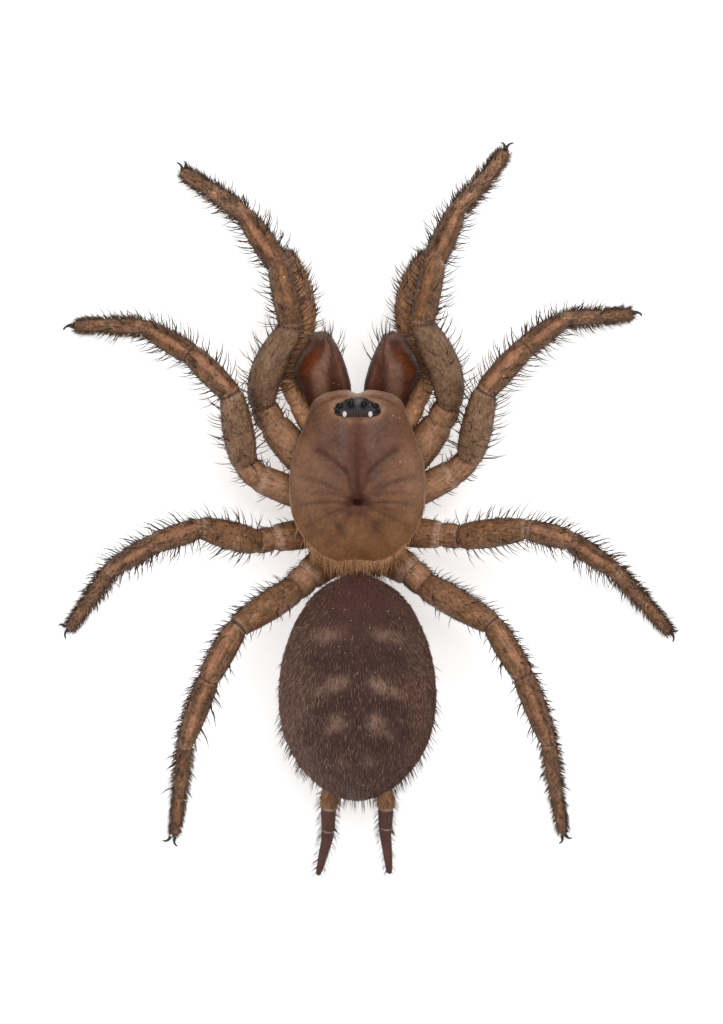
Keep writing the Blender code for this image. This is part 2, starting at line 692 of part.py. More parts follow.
def make_spinnerets():
    """The long and the short pair, cut clear of the abdomen."""
    stations = [0.67, 0.77, 0.85, 0.92, 0.97, 1.0]
    for word, side in (("left", 1), ("right", -1)):
        long_path = [Vector(p) for p in LONG_SPINNERETS[word]]
        short_path = [Vector((side * x, y, z)) for x, y, z in SHORT_PATH]
        for name, path, radii in (("spinneret_long_" + word, long_path, LONG_RADII),
                                  ("spinneret_short_" + word, short_path, SHORT_RADII)):
            body = object_of(name, horn(path, radii, 10), "spinneret_brown")
            grown = []
            for t in stations:
                ring = abdomen_ring(t)
                middle = sum(ring, Vector()) / len(ring)
                grown.append([p + (p - middle).normalized() * GAP + Vector((0, GAP, 0))
                              for p in ring])
            boolean(body, [object_of("cutter", loft(grown), None, CUTTERS)], "DIFFERENCE")


def main():
    """Every part of the spider."""
    carapace = make_carapace()
    make_eyes(carapace)
    make_jaws()
    hips = []
    limbs = []
    for name, (side, pair, headings, lifts) in LEGS.items():
        limb = Limb(side, PAIRS[pair], headings, lifts, DEPTH, 5, FEMUR_SWAY[pair])
        make_limb("leg_" + name, limb, LEG_NODES, "leg_brown", True)
        limbs.append(("leg_" + name, limb, LEG_NODES, LEG_BRISTLES, SEGMENTS))
        hips.append(object_of("hip", loft(limb.rings(0, 0, grow=GAP)), None, CUTTERS))
    for name, (side, headings, lifts) in PALPS.items():
        limb = Limb(side, PALP, headings, lifts, PALP_DEPTH, 4)
        make_limb(name, limb, PALP_NODES, "leg_brown", False)
        limbs.append((name, limb, PALP_NODES, PALP_BRISTLES, PALP_SEGMENTS))
        hips.append(object_of("hip", loft(limb.rings(0, 0, grow=GAP)), None, CUTTERS))
    pedicel = make_underbody(hips)
    make_abdomen(pedicel)
    make_spinnerets()
    bristles = Bristles()
    for name, limb, nodes, rows, segments in limbs:
        limb_bristles(bristles, name, limb, nodes, rows, segments)
    body_bristles(bristles)
    bristles.join()
    for part in PARTS.objects:
        part.data.transform(Matrix.Scale(MM, 4))
        for face in part.data.polygons:
            face.use_smooth = True
    bpy.data.collections.remove(CUTTERS)


main()
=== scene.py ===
# %% [markdown]
# # A tunnelweb spider, life size
# This notebook dresses a set of plain solids as a living spider of 15 by 17 millimetres. The
# solids give the pose. The skins made here are smooth, jointed and coloured, and the coat is
# real mesh hair. Lengths are in millimetres until a mesh is finished, because Blender's
# thresholds suit things of metres. The last step of each piece scales it to metres.

# %% Load the solids
import math
import bpy
import numpy as np
from mathutils import Matrix, Vector


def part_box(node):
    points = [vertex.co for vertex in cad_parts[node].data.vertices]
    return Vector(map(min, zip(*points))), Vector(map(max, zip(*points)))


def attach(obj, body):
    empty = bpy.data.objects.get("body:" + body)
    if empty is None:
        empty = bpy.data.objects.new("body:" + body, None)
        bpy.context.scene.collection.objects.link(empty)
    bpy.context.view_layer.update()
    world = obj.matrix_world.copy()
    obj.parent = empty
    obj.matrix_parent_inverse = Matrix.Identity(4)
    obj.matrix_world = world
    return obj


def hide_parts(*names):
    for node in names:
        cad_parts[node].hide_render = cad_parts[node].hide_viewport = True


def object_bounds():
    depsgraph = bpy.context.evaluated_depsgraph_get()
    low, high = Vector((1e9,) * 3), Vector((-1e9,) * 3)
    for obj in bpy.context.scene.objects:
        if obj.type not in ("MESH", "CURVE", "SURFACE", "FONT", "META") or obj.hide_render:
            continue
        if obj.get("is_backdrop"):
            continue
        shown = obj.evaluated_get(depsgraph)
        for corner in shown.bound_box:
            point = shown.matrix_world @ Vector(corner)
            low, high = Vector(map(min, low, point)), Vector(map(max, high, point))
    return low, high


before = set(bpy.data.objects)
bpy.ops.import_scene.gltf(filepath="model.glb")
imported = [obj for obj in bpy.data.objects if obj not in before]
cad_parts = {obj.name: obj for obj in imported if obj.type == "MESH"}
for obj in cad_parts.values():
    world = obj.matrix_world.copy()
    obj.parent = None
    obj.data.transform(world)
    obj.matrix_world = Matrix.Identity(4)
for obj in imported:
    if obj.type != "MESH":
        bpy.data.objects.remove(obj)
cad_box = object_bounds()
MM = 0.001
UP = np.array([0.0, 0.0, 1.0])
print("nodes", len(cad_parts))

# %% [markdown]
# ## The camera
# The spider is seen from straight above, its head at the top. A very long lens stands far off,
# so that the feet on the floor and the back of the abdomen keep one scale, as in the picture.
# One millimetre is 42.6 pixels of an image 1024 pixels high.

# %% Camera
PIXELS_PER_MM = 42.6
LENS = 500.0
SENSOR = 36.0
FOCUS_HEIGHT = 1.5
# The middle of the picture, in millimetres from the spider's own middle
PICTURE_MIDDLE = (-0.094, 0.094)
seen_height = 1024 / PIXELS_PER_MM
distance = seen_height * LENS / SENSOR
lens = bpy.data.cameras.new("camera")
lens.lens = LENS
lens.sensor_width = SENSOR
lens.clip_start = 0.01
lens.clip_end = 5.0
camera = bpy.data.objects.new("camera", lens)
bpy.context.scene.collection.objects.link(camera)
camera.location = Vector((*PICTURE_MIDDLE, FOCUS_HEIGHT + distance)) * MM
camera.rotation_euler = (0.0, 0.0, math.pi)
bpy.context.scene.camera = camera
print("camera height mm", round(FOCUS_HEIGHT + distance, 1))

# %% [markdown]
# ## Floor and light
# A small animal in a studio lies on a white light table under a big soft box. The table is a
# plane that glows a little, so that only faint shadows are left. The sky gives the even light,
# one broad lamp gives the sheen on the shell, and a weaker one fills the shade behind.

# %% Floor and light
bpy.context.scene.view_settings.view_transform = "Standard"
FLOOR_WHITE = (0.93, 0.93, 0.93, 1.0)
GLOW = 0.50
SKY = 0.60


def clear_selection():
    """Leave object mode and select nothing, because operators act on all that is selected."""
    if bpy.context.object and bpy.context.object.mode != "OBJECT":
        bpy.ops.object.mode_set(mode="OBJECT")
    bpy.ops.object.select_all(action="DESELECT")


clear_selection()
bpy.ops.mesh.primitive_plane_add(size=1.2, location=(0, 0, 0))
floor = bpy.context.object
floor.name = "floor"
card = bpy.data.materials.new("white_card")
card.use_nodes = True
card_shader = card.node_tree.nodes["Principled BSDF"]
for socket, value in (("Base Color", FLOOR_WHITE), ("Roughness", 0.9),
                      ("Emission Color", (1.0, 1.0, 1.0, 1.0)), ("Emission Strength", GLOW)):
    card_shader.inputs[socket].default_value = value
floor.data.materials.append(card)
floor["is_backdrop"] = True

world = bpy.data.worlds.new("studio")
world.use_nodes = True
sky = world.node_tree.nodes["Background"]
sky.inputs["Color"].default_value = (1.0, 1.0, 1.0, 1.0)
sky.inputs["Strength"].default_value = SKY
bpy.context.scene.world = world

# Of each lamp: its place and size in metres, and its power
LAMPS = {"soft_box": ((-0.10, -0.16, 0.30), 0.26, 0.52), "fill_box": ((0.20, 0.12, 0.26), 0.24, 0.16)}
for name, (place, size, power) in LAMPS.items():
    data = bpy.data.lights.new(name, "AREA")
    data.size = size
    data.energy = power
    lamp = bpy.data.objects.new(name, data)
    bpy.context.scene.collection.objects.link(lamp)
    lamp.location = place
    lamp.rotation_euler = (-Vector(place)).to_track_quat("-Z", "Y").to_euler()
print("lamps", list(LAMPS))

# %% [markdown]
# ## Building with nodes
# A finish is a tree of nodes, and adding each by hand takes a line for every wire. Two helpers
# take that up: one adds a node with all its inputs, the other opens a group with named sockets.

# %% Helpers for nodes


def add(tree, kind, inputs=None, **settings):
    """Add a shader node; each input takes a socket, which is linked to it, or a fixed value."""
    made = tree.nodes.new("ShaderNode" + kind)
    for setting, value in settings.items():
        setattr(made, setting, value)
    for name, source in (inputs or {}).items():
        if isinstance(source, bpy.types.NodeSocket):
            tree.links.new(source, made.inputs[name])
        else:
            made.inputs[name].default_value = source
    return made


def shader_group(name, inputs, outputs):
    """An empty shader group with named sockets."""
    group = bpy.data.node_groups.new(name, "ShaderNodeTree")
    for label, kind, value in inputs:
        socket = group.interface.new_socket(label, in_out="INPUT", socket_type=kind)
        if value is not None:
            socket.default_value = value
    for label, kind in outputs:
        group.interface.new_socket(label, in_out="OUTPUT", socket_type=kind)
    return group, group.nodes.new("NodeGroupInput"), group.nodes.new("NodeGroupOutput")


def brighten(tree, entry, leave, level):
    """Put out the group's colour, made lighter or darker by its amount times a level about 0."""
    strong = add(tree, "Math", {0: level.outputs[0], 1: entry.outputs["Amount"], 2: 1.0},
                 operation="MULTIPLY_ADD")
    scaled = add(tree, "VectorMath", {0: entry.outputs["Color"], "Scale": strong.outputs[0]},
                 operation="SCALE")
    tree.links.new(scaled.outputs[0], leave.inputs["Color"])


print("node helpers ready")

# %% [markdown]
# ## Shared shader effects
# Four effects are used by many finishes, so each is a node group, made once: a mottle that
# lightens and darkens a colour in soft clouds and fine flecks, a relief that gives the height
# of fine wrinkles for a Bump node, specks, which are small round dots such as the sockets of
# hairs or grains of dust, and fibres, fine streaks that follow a piece's own UV map.

# %% The mottle and relief groups
mottle, entry, leave = shader_group(
    "mottle",
    [("Color", "NodeSocketColor", (0.5, 0.5, 0.5, 1.0)), ("Vector", "NodeSocketVector", None),
     ("Cloud Scale", "NodeSocketFloat", 1500.0), ("Fleck Scale", "NodeSocketFloat", 14000.0),
     ("Amount", "NodeSocketFloat", 0.3)],
    [("Color", "NodeSocketColor"), ("Cloud", "NodeSocketFloat")])
where = entry.outputs["Vector"]
clouds = add(mottle, "TexNoise", {"Vector": where, "Scale": entry.outputs["Cloud Scale"], "Detail": 3.0})
flecks = add(mottle, "TexNoise", {"Vector": where, "Scale": entry.outputs["Fleck Scale"], "Detail": 3.0})
both = add(mottle, "Math", {0: clouds.outputs["Fac"], 1: flecks.outputs["Fac"]}, operation="ADD")
brighten(mottle, entry, leave, add(mottle, "Math", {0: both.outputs[0], 1: 1.0}, operation="SUBTRACT"))
mottle.links.new(clouds.outputs["Fac"], leave.inputs["Cloud"])

GRAIN_SHARE = 0.4
relief, entry, leave = shader_group(
    "relief",
    [("Vector", "NodeSocketVector", None), ("Wrinkle Scale", "NodeSocketFloat", 9000.0),
     ("Grain Scale", "NodeSocketFloat", 30000.0)],
    [("Height", "NodeSocketFloat")])
where = entry.outputs["Vector"]
wrinkles = add(relief, "TexNoise", {"Vector": where, "Scale": entry.outputs["Wrinkle Scale"], "Detail": 4.0})
grain = add(relief, "TexVoronoi", {"Vector": where, "Scale": entry.outputs["Grain Scale"]})
total = add(relief, "Math", {0: grain.outputs["Distance"], 1: GRAIN_SHARE, 2: wrinkles.outputs["Fac"]},
            operation="MULTIPLY_ADD")
relief.links.new(total.outputs[0], leave.inputs["Height"])
print("groups", mottle.name, relief.name)

# %% [markdown]
# Specks are cells of a Voronoi pattern: a dot is drawn near a cell's middle, and only in the
# share of the cells whose random colour says so. Fibres are a noise drawn out along the UV map.

# %% The specks and fibres groups
specks, entry, leave = shader_group(
    "specks",
    [("Vector", "NodeSocketVector", None), ("Scale", "NodeSocketFloat", 12000.0),
     ("Share", "NodeSocketFloat", 0.5), ("Size", "NodeSocketFloat", 0.2)],
    [("Mask", "NodeSocketFloat")])
cells = add(specks, "TexVoronoi", {"Vector": entry.outputs["Vector"], "Scale": entry.outputs["Scale"]})
dot = add(specks, "Math", {0: cells.outputs["Distance"], 1: entry.outputs["Size"]}, operation="LESS_THAN")
luck = add(specks, "SeparateColor", {0: cells.outputs["Color"]})
drawn = add(specks, "Math", {0: luck.outputs[0], 1: entry.outputs["Share"]}, operation="LESS_THAN")
seen = add(specks, "Math", {0: dot.outputs[0], 1: drawn.outputs[0]}, operation="MULTIPLY")
specks.links.new(seen.outputs[0], leave.inputs["Mask"])

fibres, entry, leave = shader_group(
    "fibres",
    [("Color", "NodeSocketColor", (0.5, 0.5, 0.5, 1.0)), ("Vector", "NodeSocketVector", None),
     ("Stretch", "NodeSocketVector", None), ("Amount", "NodeSocketFloat", 0.5)],
    [("Color", "NodeSocketColor")])
drawn_out = add(fibres, "VectorMath", {0: entry.outputs["Vector"], 1: entry.outputs["Stretch"]},
                operation="MULTIPLY")
strands = add(fibres, "TexNoise", {"Vector": drawn_out.outputs[0], "Scale": 1.0, "Detail": 2.0})
level = add(fibres, "Math", {0: strands.outputs["Fac"], 1: 0.5}, operation="SUBTRACT")
brighten(fibres, entry, leave, level)
print("groups", [g.name for g in bpy.data.node_groups])

# %% [markdown]
# ## A painted shell
# Every finish of the shell has the same build: a base colour, then layers of other colours,
# each laid on where a named mask of the mesh says so, then the mottle, dots and a fine relief.
# The masks are attributes of the mesh, so the paint follows the animal's own surface.

# %% Shell material


def blend_colour(tree, below, layer, amount):
    """Lay a colour over another, which is a socket or a plain colour, by an amount."""
    if isinstance(below, tuple):
        below = (*below, 1.0)
    return add(tree, "Mix", {0: amount, 6: below, 7: (*layer, 1.0)}, data_type="RGBA").outputs[2]


def mask_of(tree, name):
    """The socket that reads a mask of the mesh."""
    return add(tree, "Attribute", attribute_name=name).outputs["Fac"]


def weakened(tree, socket, value, mask, share=1.0):
    """Set a socket to a value that a mask of the mesh, if there is one, lowers by a share."""
    socket.default_value = value
    if mask:
        less = add(tree, "Math", {0: mask_of(tree, mask), 1: -value * share, 2: value},
                   operation="MULTIPLY_ADD")
        tree.links.new(less.outputs[0], socket)


def dotted(tree, where, colour, dots, bare):
    """Small dots of a colour: scale, share, size, colour and strength."""
    scale, share, size, layer, strength = dots
    mask = add(tree, "Group", {"Vector": where.outputs["Object"], "Scale": scale, "Share": share,
                               "Size": size}, node_tree=specks)
    soft = add(tree, "Math", {0: mask.outputs["Mask"]}, operation="MULTIPLY")
    weakened(tree, soft.inputs[1], strength, bare)
    return blend_colour(tree, colour, layer, soft.outputs[0])


def shell_material(name, base, layers=(), mottled=(1500.0, 14000.0, 0.3), roughness=0.4,
                   bump=(9000.0, 30000.0, 0.25, 0.02), coat=0.0, specular=0.35, dots=(), fibre=None,
                   bare=None):
    """A Principled shell with layers of colour on named masks.

    mottled: the scale of the clouds and of the flecks, and their amount. bump: the scale of the
    wrinkles and of the grain, their strength, and their depth in mm. fibre: the number of streaks
    across and along, and their amount. bare: the mask of the smooth parts.
    """
    made = bpy.data.materials.new(name)
    made.use_nodes = True
    tree = made.node_tree
    shader = tree.nodes["Principled BSDF"]
    where = add(tree, "TexCoord")
    colour = base
    for mask, layer in layers:
        colour = blend_colour(tree, colour, layer, mask_of(tree, mask))
    for kind in dots:
        colour = dotted(tree, where, colour, kind, bare)
    if isinstance(colour, tuple):
        colour = (*colour, 1.0)
    cloud_scale, fleck_scale, amount = mottled
    clouds = add(tree, "Group", {"Vector": where.outputs["Object"], "Color": colour,
                                 "Cloud Scale": cloud_scale, "Fleck Scale": fleck_scale},
                 node_tree=mottle)
    weakened(tree, clouds.inputs["Amount"], amount, bare, 0.6)
    colour = clouds.outputs["Color"]
    if fibre:
        across, along, amount = fibre
        strands = add(tree, "Group", {"Vector": where.outputs["UV"], "Color": colour,
                                      "Stretch": (across, along, 1.0)}, node_tree=fibres)
        weakened(tree, strands.inputs["Amount"], amount, bare, 0.5)
        colour = strands.outputs["Color"]
    worn = add(tree, "Math", {0: clouds.outputs["Cloud"], 1: 0.3 * roughness, 2: 0.85 * roughness},
               operation="MULTIPLY_ADD")
    wrinkle_scale, grain_scale, strength, depth = bump
    skin = add(tree, "Group", {"Vector": where.outputs["Object"], "Wrinkle Scale": wrinkle_scale,
                               "Grain Scale": grain_scale}, node_tree=relief)
    dents = add(tree, "Bump", {"Strength": strength, "Distance": depth * MM,
                               "Height": skin.outputs["Height"]})
    tree.links.new(colour, shader.inputs["Base Color"])
    tree.links.new(worn.outputs[0], shader.inputs["Roughness"])
    tree.links.new(dents.outputs["Normal"], shader.inputs["Normal"])
    shader.inputs["Coat Weight"].default_value = coat
    shader.inputs["Coat Roughness"].default_value = 0.25
    shader.inputs["Specular IOR Level"].default_value = specular
    return made


print("shell material ready")

# %% [markdown]
# ## The shell of the legs, shield and jaws
# Dots come in three kinds: the dark sockets of hairs, larger pores, and pale dust. Legs and
# palps share one recipe. The palps stand in the shade of the jaws and first legs, so their
# colours are painted lighter: a painted light that makes up for that shade.

# %% Shell finishes
# Of each kind of dot: scale, share of the cells, size, colour and strength
SOCKETS = (10500.0, 0.75, 0.25, (0.055, 0.022, 0.012), 0.75)
PORES = (6000.0, 0.30, 0.17, (0.070, 0.024, 0.012), 0.75)
DUST = (7000.0, 0.05, 0.13, (0.66, 0.56, 0.48), 0.85)


def limb_finish(name, base, amber, shade, membrane):
    """The shell of a leg or a palp."""
    return shell_material(
        name, base,
        [("olive", (0.232, 0.132, 0.076)), ("amber", amber), ("shade", shade),
         ("stripe", (0.355, 0.166, 0.088)), ("membrane", membrane), ("crease", (0.075, 0.024, 0.014))],
        (3000.0, 13000.0, 2.0), 0.52, (9000.0, 30000.0, 0.5, 0.02), specular=0.22,
        dots=(SOCKETS, PORES, DUST), fibre=(46.0, 30.0, 1.7), bare="bare")


leg_shell = limb_finish("leg_shell", (0.222, 0.098, 0.040), (0.385, 0.200, 0.108),
                        (0.080, 0.036, 0.019), (0.48, 0.31, 0.22))
# The palps' lighter colours are painted light, making up for the shade they stand in
palp_shell = limb_finish("palp_shell", (0.240, 0.112, 0.050), (0.580, 0.285, 0.140),
                         (0.092, 0.042, 0.022), (0.60, 0.39, 0.27))
carapace_shell = shell_material(
    "carapace_shell", (0.188, 0.083, 0.045),
    [("head", (0.116, 0.055, 0.038)), ("pale", (0.275, 0.138, 0.078)), ("sheen", (0.160, 0.082, 0.066)),
     ("rear", (0.205, 0.090, 0.034)), ("red", (0.130, 0.042, 0.024)), ("streak", (0.075, 0.024, 0.012)),
     ("groove", (0.062, 0.021, 0.010)), ("halo", (0.050, 0.009, 0.002)), ("pit", (0.022, 0.003, 0.001)),
     ("rim", (0.40, 0.27, 0.19))],
    (2400.0, 13000.0, 1.0), 0.48, (7000.0, 26000.0, 0.35, 0.02), 0.02, 0.24,
    dots=((6000.0, 0.03, 0.12, (0.60, 0.48, 0.38), 0.6), (4500.0, 0.10, 0.10, (0.070, 0.030, 0.018), 0.5)))
jaw_shell = shell_material(
    "jaw_shell", (0.088, 0.027, 0.014),
    [("shade", (0.042, 0.013, 0.007)), ("amber", (0.138, 0.030, 0.006)),
     ("bloom", (0.205, 0.100, 0.064))],
    (2200.0, 12000.0, 0.9), 0.48, (8000.0, 28000.0, 0.4, 0.02), 0.02, 0.15,
    dots=((9000.0, 0.06, 0.12, (0.60, 0.48, 0.40), 0.7),), fibre=(26.0, 14.0, 0.8))
print("shells", leg_shell.name, palp_shell.name, carapace_shell.name, jaw_shell.name)

# %% [markdown]
# ## The abdomen's skin, and the small glossy parts
# The abdomen is soft and velvety, so its skin is matt. Eyes, fangs and claws are hard and
# polished.

# %% Other finishes
abdomen_skin = shell_material(
    "abdomen_skin", (0.075, 0.031, 0.026),
    [("front", (0.095, 0.034, 0.025)), ("side", (0.175, 0.085, 0.062)), ("blotch", (0.042, 0.018, 0.019)),
     ("mark", (0.310, 0.185, 0.130)), ("under", (0.200, 0.120, 0.085))],
    (2200.0, 20000.0, 0.6), 0.7, (12000.0, 40000.0, 0.5, 0.02), specular=0.2,
    dots=((7000.0, 0.12, 0.13, (0.60, 0.52, 0.46), 0.8),))
spinneret_skin = shell_material(
    "spinneret_skin", (0.104, 0.046, 0.034),
    [("amber", (0.360, 0.180, 0.100)), ("membrane", (0.50, 0.34, 0.27)),
     ("shade", (0.050, 0.022, 0.016))],
    (2200.0, 20000.0, 0.7), 0.6, (12000.0, 40000.0, 0.4, 0.02), specular=0.25,
    dots=((16000.0, 0.6, 0.2, (0.045, 0.020, 0.014), 0.5),))
under_shell = shell_material(
    "under_shell", (0.280, 0.150, 0.080),
    [("shade", (0.120, 0.055, 0.030)), ("membrane", (0.50, 0.37, 0.27))],
    (1500.0, 14000.0, 0.5), 0.42)
mound_shell = shell_material(
    "mound_shell", (0.110, 0.098, 0.098),
    [("shade", (0.016, 0.014, 0.014)), ("brown", (0.062, 0.030, 0.018))],
    (6000.0, 24000.0, 1.3), 0.38, (14000.0, 40000.0, 0.5, 0.02), 0.03, 0.2)
POLISH = (14000.0, 40000.0, 0.15, 0.01)
EYE_POLISH = (14000.0, 40000.0, 0.05, 0.005)
claw_shell = shell_material("claw_shell", (0.022, 0.010, 0.007), (), (3000.0, 20000.0, 0.4), 0.2,
                            POLISH, 0.3)
fang_shell = shell_material("fang_shell", (0.030, 0.008, 0.005), [("amber", (0.14, 0.03, 0.01))],
                            (3000.0, 20000.0, 0.3), 0.16, POLISH, 0.5)
dark_eye = shell_material("dark_eye", (0.004, 0.004, 0.005), (), (4000.0, 20000.0, 0.3), 0.10,
                          EYE_POLISH, 0.10, 0.2)
pearl_eye = shell_material("pearl_eye", (0.74, 0.72, 0.68), [("shade", (0.30, 0.24, 0.20))],
                           (4000.0, 20000.0, 0.15), 0.10, EYE_POLISH, 0.8)
print("finishes", len(bpy.data.materials))

# %% [markdown]
# ## Hair
# A hair's colour runs from a dark root to a paler tip, and differs from hair to hair. Two
# attributes carry that: tone for the hair, tip for the place along it.

# %% Hair material


def hair_material(name, dark, pale, tip, roughness=0.45):
    """A Principled hair: dark to pale by tone, towards the tip colour along the hair."""
    made = bpy.data.materials.new(name)
    made.use_nodes = True
    tree = made.node_tree
    shader = tree.nodes["Principled BSDF"]
    tones = blend_colour(tree, dark, pale, mask_of(tree, "tone"))
    ends = blend_colour(tree, tones, tip, mask_of(tree, "tip"))
    where = add(tree, "TexCoord")
    flecks = add(tree, "Group", {"Vector": where.outputs["Object"], "Color": ends, "Amount": 0.3},
                 node_tree=mottle)
    tree.links.new(flecks.outputs["Color"], shader.inputs["Base Color"])
    shader.inputs["Roughness"].default_value = roughness
    shader.inputs["Specular IOR Level"].default_value = 0.22
    return made


limb_hair = hair_material("limb_hair", (0.026, 0.012, 0.008), (0.400, 0.225, 0.125),
                          (0.110, 0.060, 0.038))
body_hair = hair_material("body_hair", (0.030, 0.011, 0.010), (0.430, 0.265, 0.190),
                          (0.210, 0.115, 0.086))
jaw_hair = hair_material("jaw_hair", (0.045, 0.022, 0.015), (0.380, 0.270, 0.200),
                         (0.200, 0.125, 0.090))
golden_hair = hair_material("golden_hair", (0.160, 0.062, 0.026), (0.660, 0.355, 0.175),
                            (0.500, 0.260, 0.130))
print("hair", limb_hair.name, body_hair.name, jaw_hair.name, golden_hair.name)

# %% [markdown]
# ## A skin from a flat grid
# A grid is a skin laid flat, and it comes with its own UV map. Each of its points has a place
# across (u) and a place along (v). A piece gives a function that says where such a point lies
# on the animal, the grid is wrapped round by it, and the seam and the two ends are merged in
# edit mode. The same function later says where a hair has its root.

# %% Wrap a grid
# Points closer than this, in millimetres, are merged
SEAM = 0.0004


def to_metres(piece):
    """Scale a finished mesh from millimetres to metres."""
    piece.data.transform(Matrix.Scale(MM, 4))
    piece.data.update()


def points_of(mesh):
    """The places of a mesh's points, one row each."""
    flat = np.empty(len(mesh.vertices) * 3)
    mesh.vertices.foreach_get("co", flat)
    return flat.reshape(-1, 3)


def paint(mesh, masks):
    """Keep masks, each an array or one number, as attributes of the mesh's points."""
    for mask, values in masks.items():
        layer = mesh.attributes.new(mask, "FLOAT", "POINT")
        values = np.broadcast_to(values, len(mesh.vertices))
        layer.data.foreach_set("value", np.clip(values, 0, 1).astype(np.float32))


def wrap(name, across, along, place, finish, masks):
    """A closed skin: a grid of across by along faces, wrapped by place(u, v)."""
    clear_selection()
    bpy.ops.mesh.primitive_grid_add(x_subdivisions=across, y_subdivisions=along, size=2.0)
    piece = bpy.context.object
    piece.name = name
    mesh = piece.data
    mesh.name = name
    u, v = points_of(mesh).T[:2] * 0.5 + 0.5
    mesh.vertices.foreach_set("co", place(u, v).astype(np.float32).ravel())
    paint(mesh, masks(u, v))
    bpy.ops.object.mode_set(mode="EDIT")
    bpy.ops.mesh.select_all(action="SELECT")
    bpy.ops.mesh.remove_doubles(threshold=SEAM)
    bpy.ops.mesh.normals_make_consistent(inside=False)
    bpy.ops.object.mode_set(mode="OBJECT")
    bpy.ops.object.shade_smooth()
    to_metres(piece)
    mesh.materials.append(finish)
    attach(piece, "root")
    return piece


def smooth_through(x, xs, ys):
    """A smooth curve through stations, without overshoot between them."""
    xs, ys = np.asarray(xs, float), np.asarray(ys, float)
    step, rise = np.diff(xs), np.diff(ys)
    slope = rise / step
    tangent = np.zeros_like(ys)
    inner = slope[:-1] * slope[1:] > 0
    tangent[1:-1][inner] = 2 * (slope[:-1] * slope[1:])[inner] / (slope[:-1] + slope[1:])[inner]
    tangent[0], tangent[-1] = slope[0], slope[-1]
    x = np.clip(x, xs[0], xs[-1])
    i = np.clip(np.searchsorted(xs, x) - 1, 0, len(step) - 1)
    t = (x - xs[i]) / step[i]
    return ((2 * t**3 - 3 * t**2 + 1) * ys[i] + (t**3 - 2 * t**2 + t) * step[i] * tangent[i]
            + (3 * t**2 - 2 * t**3) * ys[i + 1] + (t**3 - t**2) * step[i] * tangent[i + 1])


def hump(x, centre, width):
    """A soft bump of height one."""
    return np.exp(-(((x - centre) / width) ** 2))


def plateau(x, centre, width):
    """A bump with a flat top and short slopes."""
    return np.exp(-(((x - centre) / width) ** 4))


print("wrap ready")

# %% [markdown]
# ## Hair from roots
# A skin is a place function with a known outside. Roots are strewn evenly over its area, or
# set in rows. Each hair is a thin three-sided spike, straight or with one bend, leaning along
# the limb. Its patch in the OFBake map is 0.003 wide and lies at its root on the skin's map.

# %% Roots on a skin


class Skin:
    """A place function with its outward direction, and a random source of its own."""

    def __init__(self, place, seed):
        self.place = place
        self.random = np.random.default_rng(seed)
        self.sign = 1.0
        u = self.random.uniform(0, 1, 400)
        v = self.random.uniform(0.15, 0.85, 400)
        point, out, _ = self.at(u, v)
        middle = sum(place(u + k / 8, v) for k in range(8)) / 8
        self.sign = 1.0 if np.sum((point - middle) * out) > 0 else -1.0

    def at(self, u, v):
        """Point, outward direction and the way along at each (u, v)."""
        e = 2e-4
        round_way = self.place(u + e, v) - self.place(u - e, v)
        long_way = self.place(u, v + e) - self.place(u, v - e)
        out = np.cross(round_way, long_way)
        out *= self.sign / np.maximum(np.linalg.norm(out, axis=1, keepdims=True), 1e-12)
        along = long_way / np.maximum(np.linalg.norm(long_way, axis=1, keepdims=True), 1e-12)
        return self.place(u, v), out, along

    def strew(self, count, weight=None, cells=(96, 160)):
        """Roots spread evenly over the area, or by a weight function of u, v and height."""
        across, along = cells
        cu = (np.arange(across) + 0.5) / across
        cv = (np.arange(along) + 0.5) / along
        u, v = (a.ravel() for a in np.meshgrid(cu, cv))
        du = self.place(u + 0.5 / across, v) - self.place(u - 0.5 / across, v)
        dv = self.place(u, v + 0.5 / along) - self.place(u, v - 0.5 / along)
        share = np.linalg.norm(np.cross(du, dv), axis=1)
        if weight is not None:
            share = share * weight(u, v)
        chosen = self.random.choice(len(u), count, p=share / share.sum())
        return (u[chosen] + self.random.uniform(-0.5, 0.5, count) / across,
                v[chosen] + self.random.uniform(-0.5, 0.5, count) / along)


def unit(vectors):
    """Each row scaled to length one."""
    return vectors / np.maximum(np.linalg.norm(vectors, axis=1, keepdims=True), 1e-12)


# %% [markdown]
# One function shapes a batch of hairs. It gives a flat list of points, faces and map places,
# so that a whole coat of ten thousand hairs is built at once.

# %% Grow hair
# How deep a hair is rooted and how near the floor it may come, in millimetres
ROOT_DEPTH = 0.012
FLOOR_GAP = 0.004
# Half the width of a hair's patch in the OFBake map, and the map's margin
PATCH = 0.0015
MARGIN = 0.02
# The corners of a straight and of a bent hair within its patch
STRAIGHT = [(-1, -1), (1, -1), (0, -1), (0, 1)]
BENT = [(-1, -1), (1, -1), (0, -1), (-0.7, 0), (0.7, 0), (0, 0), (0, 1)]


